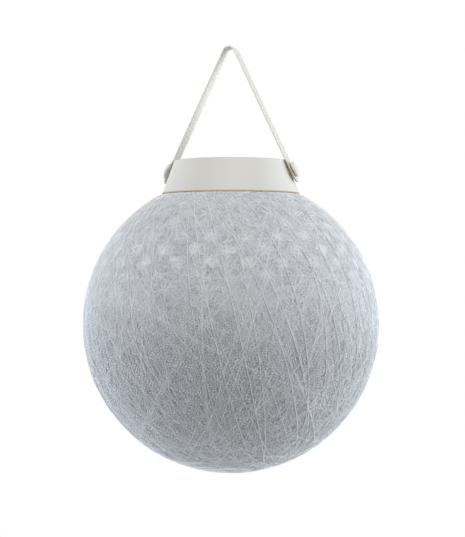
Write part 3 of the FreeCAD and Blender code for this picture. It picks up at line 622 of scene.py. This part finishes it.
def yarn_piece(name, mesh):
    piece = add_piece(name, mesh)
    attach(piece, "lamp")
    print(name, sum(len(f.vertices) - 2 for f in mesh.polygons), "triangles")


for number in range(FELT_LAYERS):
    low = FELT_LOW + FELT_STEP * number
    felt_wraps = layer(
        "felt",
        500 + number,
        Threads=168,
        Steps=192,
        Weave_Length=6 * MM,
        Turn_Scatter=3.0,
        Slope_Reach=0.98,
        Thread_Radius=0.33 * MM,
        Layer_Low=low,
        Layer_High=low + FELT_DEPTH,
        Material=fine_yarn if number else deep_shaded_yarn,
    )
    yarn_piece(f"yarn_felt_{number + 1}", felt_wraps)

# %% The rows and their puffs
PUFF_ROWS, LOW_ROWS = range(2, 11), 5
WRAPS_IN_NODE, MOST_RUNS = 3, 9
rows, puffs = [], []
for row in PUFF_ROWS:
    nodes = {
        "Nodes": PUFF_COUNT,
        "Node_Latitude": PUFF_ROW_START + row * PUFF_ROW,
        "Node_Turn": PUFF_TURN_START + (row % 2) * math.pi / PUFF_COUNT,
        "Slope": math.pi / 2,
        "Whole_Wrap": False,
    }
    row_wraps = layer(
        "row",
        600 + row,
        Threads=PUFF_COUNT * WRAPS_IN_NODE,
        Steps=84,
        Sweep=math.radians(200),
        Slope_Reach=0.1,
        Turn_Scatter=0.02,
        Latitude_Scatter=0.04,
        Weave_Height=0.45 * MM,
        Thread_Radius=0.22 * MM,
        Layer_Low=-0.5 * MM,
        Layer_High=-0.1 * MM,
        **nodes,
    )
    short_runs = layer(
        "puff",
        700 + row,
        Threads=PUFF_COUNT * min(MOST_RUNS, 2 * row - 2),
        Steps=4,
        Sweep=math.radians(4.5),
        Slope_Reach=0.22,
        Turn_Scatter=0.026,
        Latitude_Scatter=0.016,
        Weave_Height=0.3 * MM,
        Thread_Radius=0.2 * MM,
        Layer_Low=-0.2 * MM,
        Layer_High=0.15 * MM,
        Material=heaped_yarn,
        **nodes,
    )
    rows.append(row_wraps)
    puffs.append(short_runs)
yarn_piece("yarn_rows_low", join_meshes("rows_low", rows[:LOW_ROWS]))
yarn_piece("yarn_rows_high", join_meshes("rows_high", rows[LOW_ROWS:]))
yarn_piece("yarn_puffs", join_meshes("puffs", puffs))

# %% The stars
VIEW_TURN = CAMERA_AZIMUTH - math.pi / 2
stars = {
    "Slope_Reach": 0.95,
    "Turn_Scatter": 0.012,
    "Latitude_Scatter": 0.012,
    "Thread_Radius": 0.25 * MM,
    "Layer_Low": -0.4 * MM,
    "Layer_High": 0.0,
}
middle = {
    "Nodes": 24,
    "Node_Latitude": math.radians(-6),
    "Node_Turn": VIEW_TURN + math.radians(5.2),
}
low = {
    "Nodes": 21,
    "Node_Latitude": math.radians(-48.6),
    "Node_Turn": VIEW_TURN - math.radians(3.4),
}
for name, seed, wraps_in_node, ring in (("middle", 100, 6, middle), ("low", 200, 7, low)):
    threads = wraps_in_node * ring["Nodes"]
    yarn_piece(f"yarn_{name}_stars", layer(name, seed, Threads=threads, **ring, **stars))

# %% [markdown]
# On top lie the long threads, half wraps that lean one way, cross over the other way or run
# steeply down. Each rises and dips as it crosses others, so only short runs of it show. The
# leaning ones have pressed a groove beside them, and the shade in that groove is painted: it is
# drawn as the same threads once more, darker, deeper and a millimetre further round.

# %% The long threads and the painted shade of the grooves beside them
half_wraps = {
    "Whole_Wrap": False,
    "Sweep": math.radians(190),
    "Steps": 80,
    "Sides": 4,
    "Weave_Height": 0.42 * MM,
}
leaning = {
    **half_wraps,
    **middle,
    "Threads": 60,
    "Nodes": 60,
    "Slope": math.radians(-14),
    "Slope_Reach": 0.13,
    "Turn_Scatter": 0.06,
    "Thread_Radius": 0.28 * MM,
}
crossing = {
    **half_wraps,
    "Threads": 60,
    "Nodes": 60,
    "Slope": math.radians(22),
    "Slope_Reach": 0.25,
    "Turn_Scatter": 0.3,
    "Thread_Radius": 0.22 * MM,
}
steep = {
    **crossing,
    "Threads": 26,
    "Nodes": 26,
    "Slope": math.radians(-32),
    "Slope_Reach": 0.15,
    "Latitude_Scatter": 0.5,
}
above = {"Layer_Low": 0.1 * MM, "Layer_High": 0.35 * MM, "Material": outer_lit_yarn}
beside = {
    "Node_Turn": middle["Node_Turn"] - 1.0 * MM / ball_radius,
    "Layer_Low": -0.2 * MM,
    "Layer_High": 0.0,
    "Material": shaded_yarn,
}
kinds = (("long", 900, leaning), ("cross", 901, crossing), ("steep", 902, steep))
long_threads = [layer(name, seed, **kind, **above) for name, seed, kind in kinds]
yarn_piece("yarn_long_threads", join_meshes("long", long_threads))
yarn_piece("yarn_groove_shade", layer("groove_shade", 900, **{**leaning, **beside}))

# %% [markdown]
# ## The shell under the threads
# Under the threads lies the stiff shell itself, a wall of stuck threads about 3 mm thick. It is
# a turned profile with the mouth left open and closed over the rim, so it has an inside too. Its
# felt is mottled, since the stiffener soaks in unevenly. Its dark grey is painted shade, for the
# pits between the threads where it shows through, and it is paler where the winding over it is
# pale, towards the top partly as painted top light.

# %% The shell
SHELL_DROP, SHELL_WALL = 1.2 * MM, 3 * MM
SHELL_STEPS, SHELL_ROWS = 144, 72
FELT_MOTTLE, FELT_PALE_SHARE = 1.43 * MM, 0.8


def turned_mesh(name, profile, steps):
    """A closed mesh from a closed run of (radius, z) points turned about the lamp's axis."""
    made = bmesh.new()
    rings = []
    for radius, z in profile:
        turns = [FULL_TURN * i / steps for i in range(steps if radius else 1)]
        places = [(radius * math.cos(a), radius * math.sin(a), z) for a in turns]
        rings.append([made.verts.new(place) for place in places])
    for first, second in zip(rings, rings[1:]):
        for i in range(steps):
            near, far = i, (i + 1) % steps
            corners = ((first, near), (first, far), (second, far), (second, near))
            unique = list(dict.fromkeys(ring[k % len(ring)] for ring, k in corners))
            if len(unique) > 2:
                made.faces.new(unique)
    return bmesh_to_mesh(name, made)


def ball_outline(radius):
    """A sphere's outline from the bottom up to the mouth."""
    top = math.asin(mouth_radius / radius)
    angles = [math.pi - (math.pi - top) * i / SHELL_ROWS for i in range(1, SHELL_ROWS + 1)]
    ring = [(radius * math.sin(a), ball_z + radius * math.cos(a)) for a in angles]
    return [(0.0, ball_z - radius)] + ring


outside, inside = (ball_outline(ball_radius - depth) for depth in (SHELL_DROP, SHELL_WALL))
shell = turned_mesh("yarn_shell", outside + inside[::-1], SHELL_STEPS)
shell = add_piece("yarn_shell", shell)
felt, tree, shader, place = surface("glued cotton felt", "b4bac2", 0.95, Sheen_Weight=0.1)
mottle = add(tree, "ShaderNodeTexNoise", place, 1 / FELT_MOTTLE, 3.0)
from_middle = add(tree, "ShaderNodeVectorMath", place, (0, 0, ball_z), operation="SUBTRACT")
pale = puff_pattern(tree, from_middle)[1]
share = add(tree, "MULTIPLY_ADD", pale, FELT_PALE_SHARE, mottle)
bump = {"Height": mottle, "Strength": 0.6, "Distance": 0.4 * MM}
# The dark tint is painted shade of the pits; the pale share follows the puffs and top light.
give(shader, {
    "Base Color": add(tree, "ShaderNodeMix", share, "74757e", "eef1f6", **COLOURS),
    "Normal": add(tree, "ShaderNodeBump", bump),
})
shell.data.materials.append(felt)
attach(shell, "lamp")
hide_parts("yarn_shade")
print("shell with", len(shell.data.polygons), "faces")

# %% [markdown]
# ## The strap
# The strap is one length of coated leather 20 mm wide and 1.4 mm thick, die-cut with round ends
# and two holes, folded over a small crown and held by a stud at each foot. A flat outline that is
# cut, triangulated and then bent along the strap's path gives clean holes and round ends, which a
# swept rectangle would not. Its corners are rounded a little, as a burnished edge is. The lean of
# the legs and their length come from the box of the CAD strap.

# %% The strap's path
CROWN_RADIUS = 5.5 * MM
STUD_TO_TIP = 13 * MM
HOLE_RADIUS = 2.3 * MM

strap_thickness = strap_high[2]
strap_half_width = (strap_high[1] - strap_low[1]) / 2
lean = 0.4  # a first guess, which the loop brings to the lean that fits the box
for _ in range(12):
    run = strap_high[0] - (CROWN_RADIUS + strap_thickness) * math.cos(lean)
    drop = CROWN_RADIUS * math.sin(lean) - CROWN_RADIUS - strap_low[2]
    lean = math.atan2(run, drop)
leg_length = math.hypot(run, drop)
half_crown = CROWN_RADIUS * (math.pi / 2 - lean)
strap_end = half_crown + leg_length
stud_along = strap_end - STUD_TO_TIP


def strap_place(along, across, depth):
    """A place on the strap: along it from the crown, across it, and out from its inner face."""
    bent = max(-half_crown, min(half_crown, along))
    angle = math.pi / 2 - bent / CROWN_RADIUS
    outward = Vector((math.cos(angle), 0, math.sin(angle)))
    onward = Vector((math.sin(angle), 0, -math.cos(angle)))
    middle = Vector((0, across, -CROWN_RADIUS))
    return middle + outward * (CROWN_RADIUS + depth) + onward * (along - bent)


print("strap leans", round(math.degrees(lean), 2), "degrees, legs", round(leg_length, 4), "m")

# %% The strap's mesh
EDGE_ROUND, GRID_MARGIN, SAME_POINT = 0.35 * MM, 1.0 * MM, 1e-7
LEG_STEP, CROWN_STEPS, END_STEPS, HOLE_STEPS, WIDTH_STEPS = 2.6 * MM, 14, 18, 20, 6
ROUND_STEPS = 3
COAT_SLOT, EDGE_SLOT, LINING_SLOT = 0, 1, 2


def strap_rows():
    """The stations along the strap where it gets points."""
    straight = leg_length - strap_half_width
    steps = round(straight / LEG_STEP)
    leg = [half_crown + straight * i / steps for i in range(1, steps + 1)]
    crown = [half_crown * (2 * i / CROWN_STEPS - 1) for i in range(CROWN_STEPS + 1)]
    return [-a for a in reversed(leg)] + crown + leg


def strap_loops(inset):
    """The flat outline of the strap and of its holes, drawn in by an inset, as (along, across)."""
    rows, reach = strap_rows(), strap_half_width - inset
    ends = [math.pi * i / END_STEPS for i in range(1, END_STEPS)]
    right = [(rows[-1] + reach * math.sin(a), -reach * math.cos(a)) for a in ends]
    left = [(rows[0] - reach * math.sin(a), reach * math.cos(a)) for a in ends]
    outline = [(a, -reach) for a in rows] + right + [(a, reach) for a in reversed(rows)] + left
    radius = HOLE_RADIUS + inset
    turns = [-FULL_TURN * i / HOLE_STEPS for i in range(HOLE_STEPS)]
    hole = [(radius * math.cos(a), radius * math.sin(a)) for a in turns]
    return [outline] + [[(side * stud_along + x, y) for x, y in hole] for side in (1, -1)]


def in_strap(place, margin):
    """Whether a flat place is on the leather, and this far from its edges."""
    along, across = abs(place[0]), place[1]
    beyond = max(0.0, along - strap_end + strap_half_width)
    hole = math.hypot(along - stud_along, across)
    return math.hypot(beyond, across) < strap_half_width - margin and hole > HOLE_RADIUS + margin


def flat_faces(loops):
    """Triangles that fill the outline and leave the holes open, with a grid of points inside."""
    points = [p for loop in loops for p in loop]
    edges, start = [], 0
    for loop in loops:
        edges += [(start + i, start + (i + 1) % len(loop)) for i in range(len(loop))]
        start += len(loop)
    across = [strap_half_width * (2 * i / WIDTH_STEPS - 1) for i in range(1, WIDTH_STEPS)]
    points += [(a, b) for a in strap_rows() for b in across if in_strap((a, b), GRID_MARGIN)]
    places, _, faces, *_ = delaunay_2d_cdt([Vector(p) for p in points], edges, [], 0, SAME_POINT)
    middles = [sum((places[i] for i in face), Vector((0, 0))) / len(face) for face in faces]
    return places, [face for face, middle in zip(faces, middles) if in_strap(middle, 0.0)]


def strap_mesh():
    """The closed strap: two faces, and a rounded edge round the outline and each hole."""
    turns = [math.pi / 2 * i / ROUND_STEPS for i in range(ROUND_STEPS + 1)]
    rounding = [(EDGE_ROUND * (1 - math.sin(t)), EDGE_ROUND * (1 - math.cos(t))) for t in turns]
    layers = rounding + [(inset, strap_thickness - depth) for inset, depth in reversed(rounding)]
    made = bmesh.new()
    rings = []
    for inset, depth in layers:
        loops = [[strap_place(a, b, depth) for a, b in loop] for loop in strap_loops(inset)]
        rings.append([[made.verts.new(place) for place in loop] for loop in loops])
    for lower, upper in zip(rings, rings[1:]):
        for first, second in zip(lower, upper):
            for i in range(len(first)):
                j = (i + 1) % len(first)
                face = made.faces.new((first[i], first[j], second[j], second[i]))
                face.material_index = EDGE_SLOT
    places, faces = flat_faces(strap_loops(EDGE_ROUND))
    sides = ((rings[0], 0.0, LINING_SLOT), (rings[-1], strap_thickness, COAT_SLOT))
    for ring, depth, slot in sides:
        known = [v for loop in ring for v in loop]
        verts = known + [made.verts.new(strap_place(a, b, depth)) for a, b in places[len(known) :]]
        for face in faces:
            made.faces.new([verts[i] for i in face]).material_index = slot
    return bmesh_to_mesh("strap", made)


strap = add_piece("strap", strap_mesh())
print("strap with", len(strap.data.polygons), "faces")

# %% [markdown]
# The leather is split hide with an off-white coat, embossed with a fine pebble grain about 0.7 mm
# across. The coat is satin, a little warmer and duller towards the edges, where hands rub it. The
# lining inside is smooth, and its tint is paler than the coat's as painted light, which makes up
# for the shade the inner face lies in. The cut edge is painted nearly as pale as the coat, and it
# turns to a darker tan below the collar's top.

# %% The strap's leather
GRAIN, SOILING, FIBRES = 0.7 * MM, 16.7 * MM, 1.11 * MM
EDGE_WEAR, SOILING_WEAR, WORN_FROM = 0.35, 0.4, 0.8
PAINT_START, PAINT_END = collar_top - 3 * MM, collar_top + 2 * MM


def leather(name, pale, worn, grain_strength):
    """Coated split hide, from a pale tint in the middle to a worn one at the edges."""
    made, tree, shader, place = surface(name, pale, 0.55, ior=1.48)
    soiling = add(tree, "ShaderNodeTexNoise", place, 1 / SOILING, 4.0)
    across = add(tree, "ABSOLUTE", add(tree, "ShaderNodeSeparateXYZ", place).outputs[1])
    ends = (strap_half_width * WORN_FROM, strap_half_width)
    edge = add(tree, "ShaderNodeMapRange", across, *ends, **SMOOTH)
    soiled = add(tree, "MULTIPLY", soiling, SOILING_WEAR)
    wear = add(tree, "MULTIPLY_ADD", edge, EDGE_WEAR, soiled)
    give(shader, {"Base Color": add(tree, "ShaderNodeMix", wear, pale, worn, **COLOURS)})
    uneven(tree, shader, soiling, 0.2)
    if grain_strength:
        grain = add(tree, "ShaderNodeTexVoronoi", place, 1 / GRAIN, feature="SMOOTH_F1")
        bump = {"Height": grain, "Strength": grain_strength, "Distance": 0.1 * MM}
        give(shader, {"Normal": add(tree, "ShaderNodeBump", bump)})
    return made


cut_edge, tree, shader, place = surface("cut leather edge", "e6e1d6", 0.8)
fibres = add(tree, "ShaderNodeTexNoise", place, 1 / FIBRES, 3.0)
height = add(tree, "ShaderNodeSeparateXYZ", place).outputs[2]
painted = add(tree, "ShaderNodeMapRange", height, PAINT_START, PAINT_END, **SMOOTH)
bare_hide = add(tree, "ShaderNodeMix", fibres, "a88f6c", "c9b592", **COLOURS)
edge_paint = add(tree, "ShaderNodeMix", fibres, "e6e1d6", "efebe2", **COLOURS)
edge_tint = add(tree, "ShaderNodeMix", painted, bare_hide, edge_paint, **COLOURS)
give(shader, {"Base Color": edge_tint})

coat = leather("coated leather", "d8d6cf", "c2beb3", 0.025)
# The lining's paler tint is painted light, for the shaded inner face.
lining = leather("leather lining", "edeae3", "dedad1", 0.0)
for material in (coat, cut_edge, lining):
    strap.data.materials.append(material)
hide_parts("handle_strap")
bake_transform(strap)

# %% [markdown]
# ## Moulded plastic
# The collar, ring, bezel, studs, housing and door are ABS, injection moulded in tools that were
# blasted to a satin, and the wedges behind the strap are nylon, as tan as the hide. That gives an
# even, slightly soft highlight, a grit of about 0.1 mm and a faint change of tone over some
# centimetres where the melt flowed. The grit is too fine to show here, so it is drawn at 0.5 mm.
# One function makes all of these, since only tone and gloss differ, and another makes the
# materials whose tint changes with one fine noise. The CAD nodes keep their meshes, and only
# their materials change.

# %% Moulded plastic
GRIT, FLOW = 0.5 * MM, 35 * MM


def paint_nodes(material, *names):
    """Gives CAD nodes this material."""
    for name in names:
        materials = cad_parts[name].data.materials
        materials.clear()
        materials.append(material)


def mottled(name, tints, roughness, size, detail=3.0, **values):
    """A material whose tint wanders between two by a noise: all of surface's results and it."""
    made, tree, shader, place = surface(name, tints[0], roughness, **values)
    noise = add(tree, "ShaderNodeTexNoise", place, 1 / size, detail)
    give(shader, {"Base Color": add(tree, "ShaderNodeMix", noise, *tints, **COLOURS)})
    return made, tree, shader, place, noise


def textured(tree, shader, place, size, detail, strength, distance):
    """Adds a bump of one noise to a material, and returns the noise."""
    noise = add(tree, "ShaderNodeTexNoise", place, 1 / size, detail)
    bump = {"Height": noise, "Strength": strength, "Distance": distance}
    give(shader, {"Normal": add(tree, "ShaderNodeBump", bump)})
    return noise


def moulded(name, pale, deep, roughness, grit=0.12):
    """Blasted plastic: a faint flow of tone, a satin that varies a little, and fine grit."""
    made, *parts, _ = mottled(name, (pale, deep), roughness, FLOW, 2.0, ior=1.54)
    speckle = textured(*parts, GRIT, detail=2.0, strength=grit, distance=0.05 * MM)
    uneven(*parts[:2], speckle, 0.1)
    return made


collar_plastic = moulded("satin ABS, collar", "dad8d3", "d5d3cd", 0.42)
stud_plastic = moulded("satin ABS, studs", "dcdad5", "d6d4ce", 0.38)
unit_plastic = moulded("satin ABS, light unit", "d5d3cc", "cdcac2", 0.48, 0.2)
wedge_plastic = moulded("tan nylon, strap wedges", "b8a07d", "a58d6b", 0.5)
paint_nodes(collar_plastic, "neck_ring", "top_bezel")
paint_nodes(stud_plastic, "stud_left", "stud_right")
paint_nodes(wedge_plastic, "stud_spacers")
paint_nodes(unit_plastic, "unit_housing", "battery_door")
print("moulded plastic on 7 nodes")

# %% [markdown]
# A thin tan line runs along the collar's lower rim, where it meets the yarn: painted warm shade
# at that seam. It is a line of about a millimetre, drawn by height.

# %% The painted seam shade
SEAM_SHADE_LINE, SEAM_SHADE_EDGE = 0.9 * MM, 0.7 * MM
SEAM_SHADE_WANDER, WANDER_LENGTH = 0.5 * MM, 11.1 * MM

# A copy of the collar's plastic with painted shade along its lower rim.
seam_shaded = collar_plastic.copy()
seam_shaded.name = "satin ABS, collar with seam_shade line"
tree = seam_shaded.node_tree
shader = next(n for n in tree.nodes if n.type == "BSDF_PRINCIPLED")
unshaded_tint = shader.inputs["Base Color"].links[0].from_socket
place = add(tree, "ShaderNodeTexCoord").outputs["Object"]
wander = add(tree, "ShaderNodeTexNoise", place, 1 / WANDER_LENGTH, 3.0)
wander = add(tree, "MULTIPLY", wander, SEAM_SHADE_WANDER)
height = add(tree, "ADD", add(tree, "ShaderNodeSeparateXYZ", place).outputs[2], wander)
rim_z = collar_low[2] + SEAM_SHADE_LINE
unshaded = add(tree, "ShaderNodeMapRange", height, rim_z, rim_z + SEAM_SHADE_EDGE, **SMOOTH)
tint = add(tree, "ShaderNodeMix", unshaded, "bfad92", unshaded_tint, **COLOURS)
give(shader, {"Base Color": tint})
paint_nodes(seam_shaded, "collar")
print("seam_shade line", SEAM_SHADE_LINE, "m high")

# %% [markdown]
# ## Rubber, window and solar cells
# The seal is EPDM rubber and the button silicone, both matt with a dusty bloom. The window is
# clear polycarbonate with a faint ripple from the mould. The cells under it are dark blue
# silicon strips with printed silver fingers every 1.6 mm and one bus line along each strip. They
# are drawn from the place on the cell, since they are a printed pattern on a flat sheet.

# %% Rubber and window
BLOOM, SKIN, RIPPLE, HAZE = 3.33 * MM, 0.4 * MM, 8.33 * MM, 1.43 * MM
rubbers = (
    ("EPDM rubber", ("2c2c2e", "4a4a4c"), 0.75, "seal_ring"),
    ("silicone rubber", ("85888b", "9a9da0"), 0.65, "power_button"),
)
for name, tints, roughness, node in rubbers:
    rubber, *parts, _ = mottled(name, tints, roughness, BLOOM, 4.0, ior=1.52)
    textured(*parts, SKIN, detail=1.0, strength=0.2, distance=0.05 * MM)
    paint_nodes(rubber, node)

glassy = {"ior": 1.585, "Transmission_Weight": 1.0}
clear, tree, shader, place = surface("clear polycarbonate", "f4f7f7", 0.06, **glassy)
textured(tree, shader, place, RIPPLE, detail=1.0, strength=0.1, distance=0.1 * MM)
uneven(tree, shader, add(tree, "ShaderNodeTexNoise", place, 1 / HAZE, 4.0), 0.08)
paint_nodes(clear, "panel_window")
print("rubber and window painted")

# %% The solar cells
FINGER_PITCH, FINGER_WIDTH, BUS_WIDTH = 1.6 * MM, 0.14 * MM, 0.8 * MM
STRIPS, STRIP_GAP, CRYSTAL = 6, 0.6 * MM, 3.85 * MM
cells_low, cells_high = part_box("solar_cells")
strip_pitch = (cells_high[0] - cells_low[0] + STRIP_GAP) / STRIPS


def line_pattern(tree, value, start, pitch, width):
    """1 on lines of this width, one in each pitch, the first half a pitch from the start."""
    turned = add(tree, "DIVIDE", add(tree, "SUBTRACT", value, start), pitch)
    off = add(tree, "ABSOLUTE", add(tree, "SUBTRACT", add(tree, "FRACT", turned), 0.5))
    return add(tree, "LESS_THAN", off, width / pitch / 2)


silicon, tree, shader, place = surface("silicon cell", "141d3c", 0.22, ior=1.52, Coat_Weight=1.0)
x, y, _ = add(tree, "ShaderNodeSeparateXYZ", place).outputs
fingers = line_pattern(tree, y, cells_low[1], FINGER_PITCH, FINGER_WIDTH)
buses = line_pattern(tree, x, cells_low[0], strip_pitch, BUS_WIDTH)
silver = add(tree, "MAXIMUM", fingers, buses)
crystal = add(tree, "ShaderNodeTexVoronoi", place, 1 / CRYSTAL)
grains = add(tree, "ShaderNodeSeparateColor", crystal.outputs["Color"])
cell_tint = add(tree, "ShaderNodeMix", grains, "111a36", "1c2a55", **COLOURS)
cell_tint = add(tree, "ShaderNodeMix", silver, cell_tint, "b9bfc4", **COLOURS)
give(shader, {"Base Color": cell_tint})
paint_nodes(silicon, "solar_cells")
print("cells with", round((cells_high[1] - cells_low[1]) / FINGER_PITCH), "fingers")

# %% [markdown]
# ## Boards, parts and wires
# The boards are glass-epoxy with green solder mask, under which copper tracks show a shade
# paler. The chips, coil and switch are black epoxy, matt with a fine sparkle of filler. The
# wires are a red and a black one, in soft PVC. The LED board is aluminium under white mask, and
# each LED is a white pack with a disc of yellow phosphor.

# %% Boards, parts and wires
TRACKS, TRACK_EDGE = 5.56 * MM, (0.06, 0.1)
FILLER, DULLING = 0.333 * MM, 2 * MM
lacquer = {"ior": 1.55, "Coat_Weight": 0.4}
mask, tree, shader, place = surface("green solder mask", "1d5a36", 0.35, **lacquer)
tracks = add(tree, "ShaderNodeTexVoronoi", place, 1 / TRACKS, feature="DISTANCE_TO_EDGE")
between = add(tree, "ShaderNodeMapRange", tracks, *TRACK_EDGE, **SMOOTH)
bump = {"Height": between, "Strength": 0.3, "Distance": 0.04 * MM}
give(shader, {
    "Base Color": add(tree, "ShaderNodeMix", between, "3d7d4c", "1b5533", **COLOURS),
    "Normal": add(tree, "ShaderNodeBump", bump),
})
paint_nodes(mask, "circuit_board", "panel_board")

epoxy, *parts, _ = mottled("black epoxy", ("1b1c1e", "34353a"), 0.6, FILLER, 2.0)
textured(*parts, FILLER, detail=2.0, strength=0.2, distance=0.03 * MM)
paint_nodes(epoxy, "board_components", "tact_switch")

red_tints = ("9c1f1b", "b0302a")
pvc, tree, shader, place, _ = mottled("soft PVC wire", red_tints, 0.35, DULLING, ior=1.53)
red = shader.inputs["Base Color"].links[0].from_socket
side = add(tree, "ShaderNodeSeparateXYZ", place).outputs[0]
is_red = add(tree, "GREATER_THAN", side, 0.0)
give(shader, {"Base Color": add(tree, "ShaderNodeMix", is_red, "1e1e20", red, **COLOURS)})
paint_nodes(pvc, "panel_leads", "led_leads")
print("boards, parts and wires painted")

# %% The LED board and its LEDs
SPECKS = 2.5 * MM
LED_COUNT, LED_HALF, PHOSPHOR_RADIUS, PHOSPHOR_EDGE = 6, 1.75 * MM, 1.25 * MM, 0.1 * MM
led_low, led_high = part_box("leds")
led_circle = led_high[0] - LED_HALF

mask_tints = ("dcdddc", "ecedec")
white_mask = mottled("white solder mask", mask_tints, 0.4, SPECKS, 4.0, Coat_Weight=0.3)
paint_nodes(white_mask[0], "led_board")

pack, tree, shader, place = surface("LED pack", "f0efe8", 0.3)
*_, reach, turn = polar(tree, place)
turned = add(tree, "ADD", turn, FULL_TURN)
own_turn = add(tree, "PINGPONG", turned, FULL_TURN / LED_COUNT / 2)
side_step = add(tree, "MULTIPLY", reach, add(tree, "SINE", own_turn))
out_step = add(tree, "MULTIPLY", reach, add(tree, "COSINE", own_turn))
out_step = add(tree, "SUBTRACT", out_step, led_circle)
from_led = add(tree, "ShaderNodeCombineXYZ", side_step, out_step)
from_led = add(tree, "ShaderNodeVectorMath", from_led, operation="LENGTH")
ends = (PHOSPHOR_RADIUS, PHOSPHOR_RADIUS + PHOSPHOR_EDGE)
white_part = add(tree, "ShaderNodeMapRange", from_led, *ends, **SMOOTH)
pack_tint = add(tree, "ShaderNodeMix", white_part, "e8c84e", "f0efe8", **COLOURS)
give(shader, {"Base Color": pack_tint})
paint_nodes(pack, "leds")
print(LED_COUNT, "LEDs on a circle of", round(led_circle, 5), "m")

# %% [markdown]
# ## Diffuser, battery and metal
# The diffuser is opal polycarbonate, which glows evenly and has a fine frosted skin. The battery
# is a steel can in a blue sleeve that stops short of its ends. Screws, washers and nuts are
# zinc-plated steel and the contacts nickel-plated spring strip, both brushed by the tumbling of
# the plating barrel.

# %% Diffuser, battery and metal
CLOUDS, FROST, FILM, BRUSHING = 16.7 * MM, 0.556 * MM, 6.67 * MM, 0.625 * MM
SLEEVE_SHORT, BRUSH_STRETCH = 1.4 * MM, (1.0, 1.0, 0.2)
glow = {
    "ior": 1.585,
    "Transmission_Weight": 0.35,
    "Subsurface_Weight": 0.3,
    "Subsurface_Radius": (2 * MM, 2 * MM, 2 * MM),
    "Subsurface_Scale": 1.0,
}
opal_tints = ("f4f3ee", "eceae3")
opal, *parts, _ = mottled("opal polycarbonate", opal_tints, 0.5, CLOUDS, **glow)
textured(*parts, FROST, detail=2.0, strength=0.25, distance=0.05 * MM)
paint_nodes(opal, "diffuser")

battery_low, battery_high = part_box("battery")
film_tints = ("38779f", "4a8bb3")
sleeve, tree, shader, place, _ = mottled("sleeved steel can", film_tints, 0.3, FILM)
film = shader.inputs["Base Color"].links[0].from_socket
along = add(tree, "ShaderNodeSeparateXYZ", place).outputs[0]
after_start = add(tree, "GREATER_THAN", along, battery_low[0] + SLEEVE_SHORT)
before_end = add(tree, "LESS_THAN", along, battery_high[0] - SLEEVE_SHORT)
in_sleeve = add(tree, "MULTIPLY", after_start, before_end)
give(shader, {
    "Base Color": add(tree, "ShaderNodeMix", in_sleeve, "b9babb", film, **COLOURS),
    "Metallic": add(tree, "SUBTRACT", 1.0, in_sleeve),
})
paint_nodes(sleeve, "battery")


def plated(name, dark, pale, roughness):
    """Barrel-plated metal, brushed along the lamp's axis."""
    made, tree, shader, place = surface(name, pale, roughness, Metallic=1.0)
    stretched = add(tree, "ShaderNodeMapping", {"Vector": place, "Scale": BRUSH_STRETCH})
    brushed = add(tree, "ShaderNodeTexNoise", stretched, 1 / BRUSHING, 3.0)
    give(shader, {"Base Color": add(tree, "ShaderNodeMix", brushed, dark, pale, **COLOURS)})
    uneven(tree, shader, brushed, 0.2)
    return made


zinc = plated("zinc-plated steel", "a6a8aa", "c4c6c8", 0.38)
nickel = plated("nickel-plated strip", "b5b2a8", "cfccc2", 0.3)
SCREWS = ("collar_screws", "bezel_screws", "board_screws", "door_screws")
NUTS = ("stud_washers", "stud_nuts")
paint_nodes(zinc, *SCREWS, *NUTS)
paint_nodes(nickel, "battery_contacts")
print("metal on", len(SCREWS) + len(NUTS) + 1, "nodes")

# %% The finish
print("scene built")
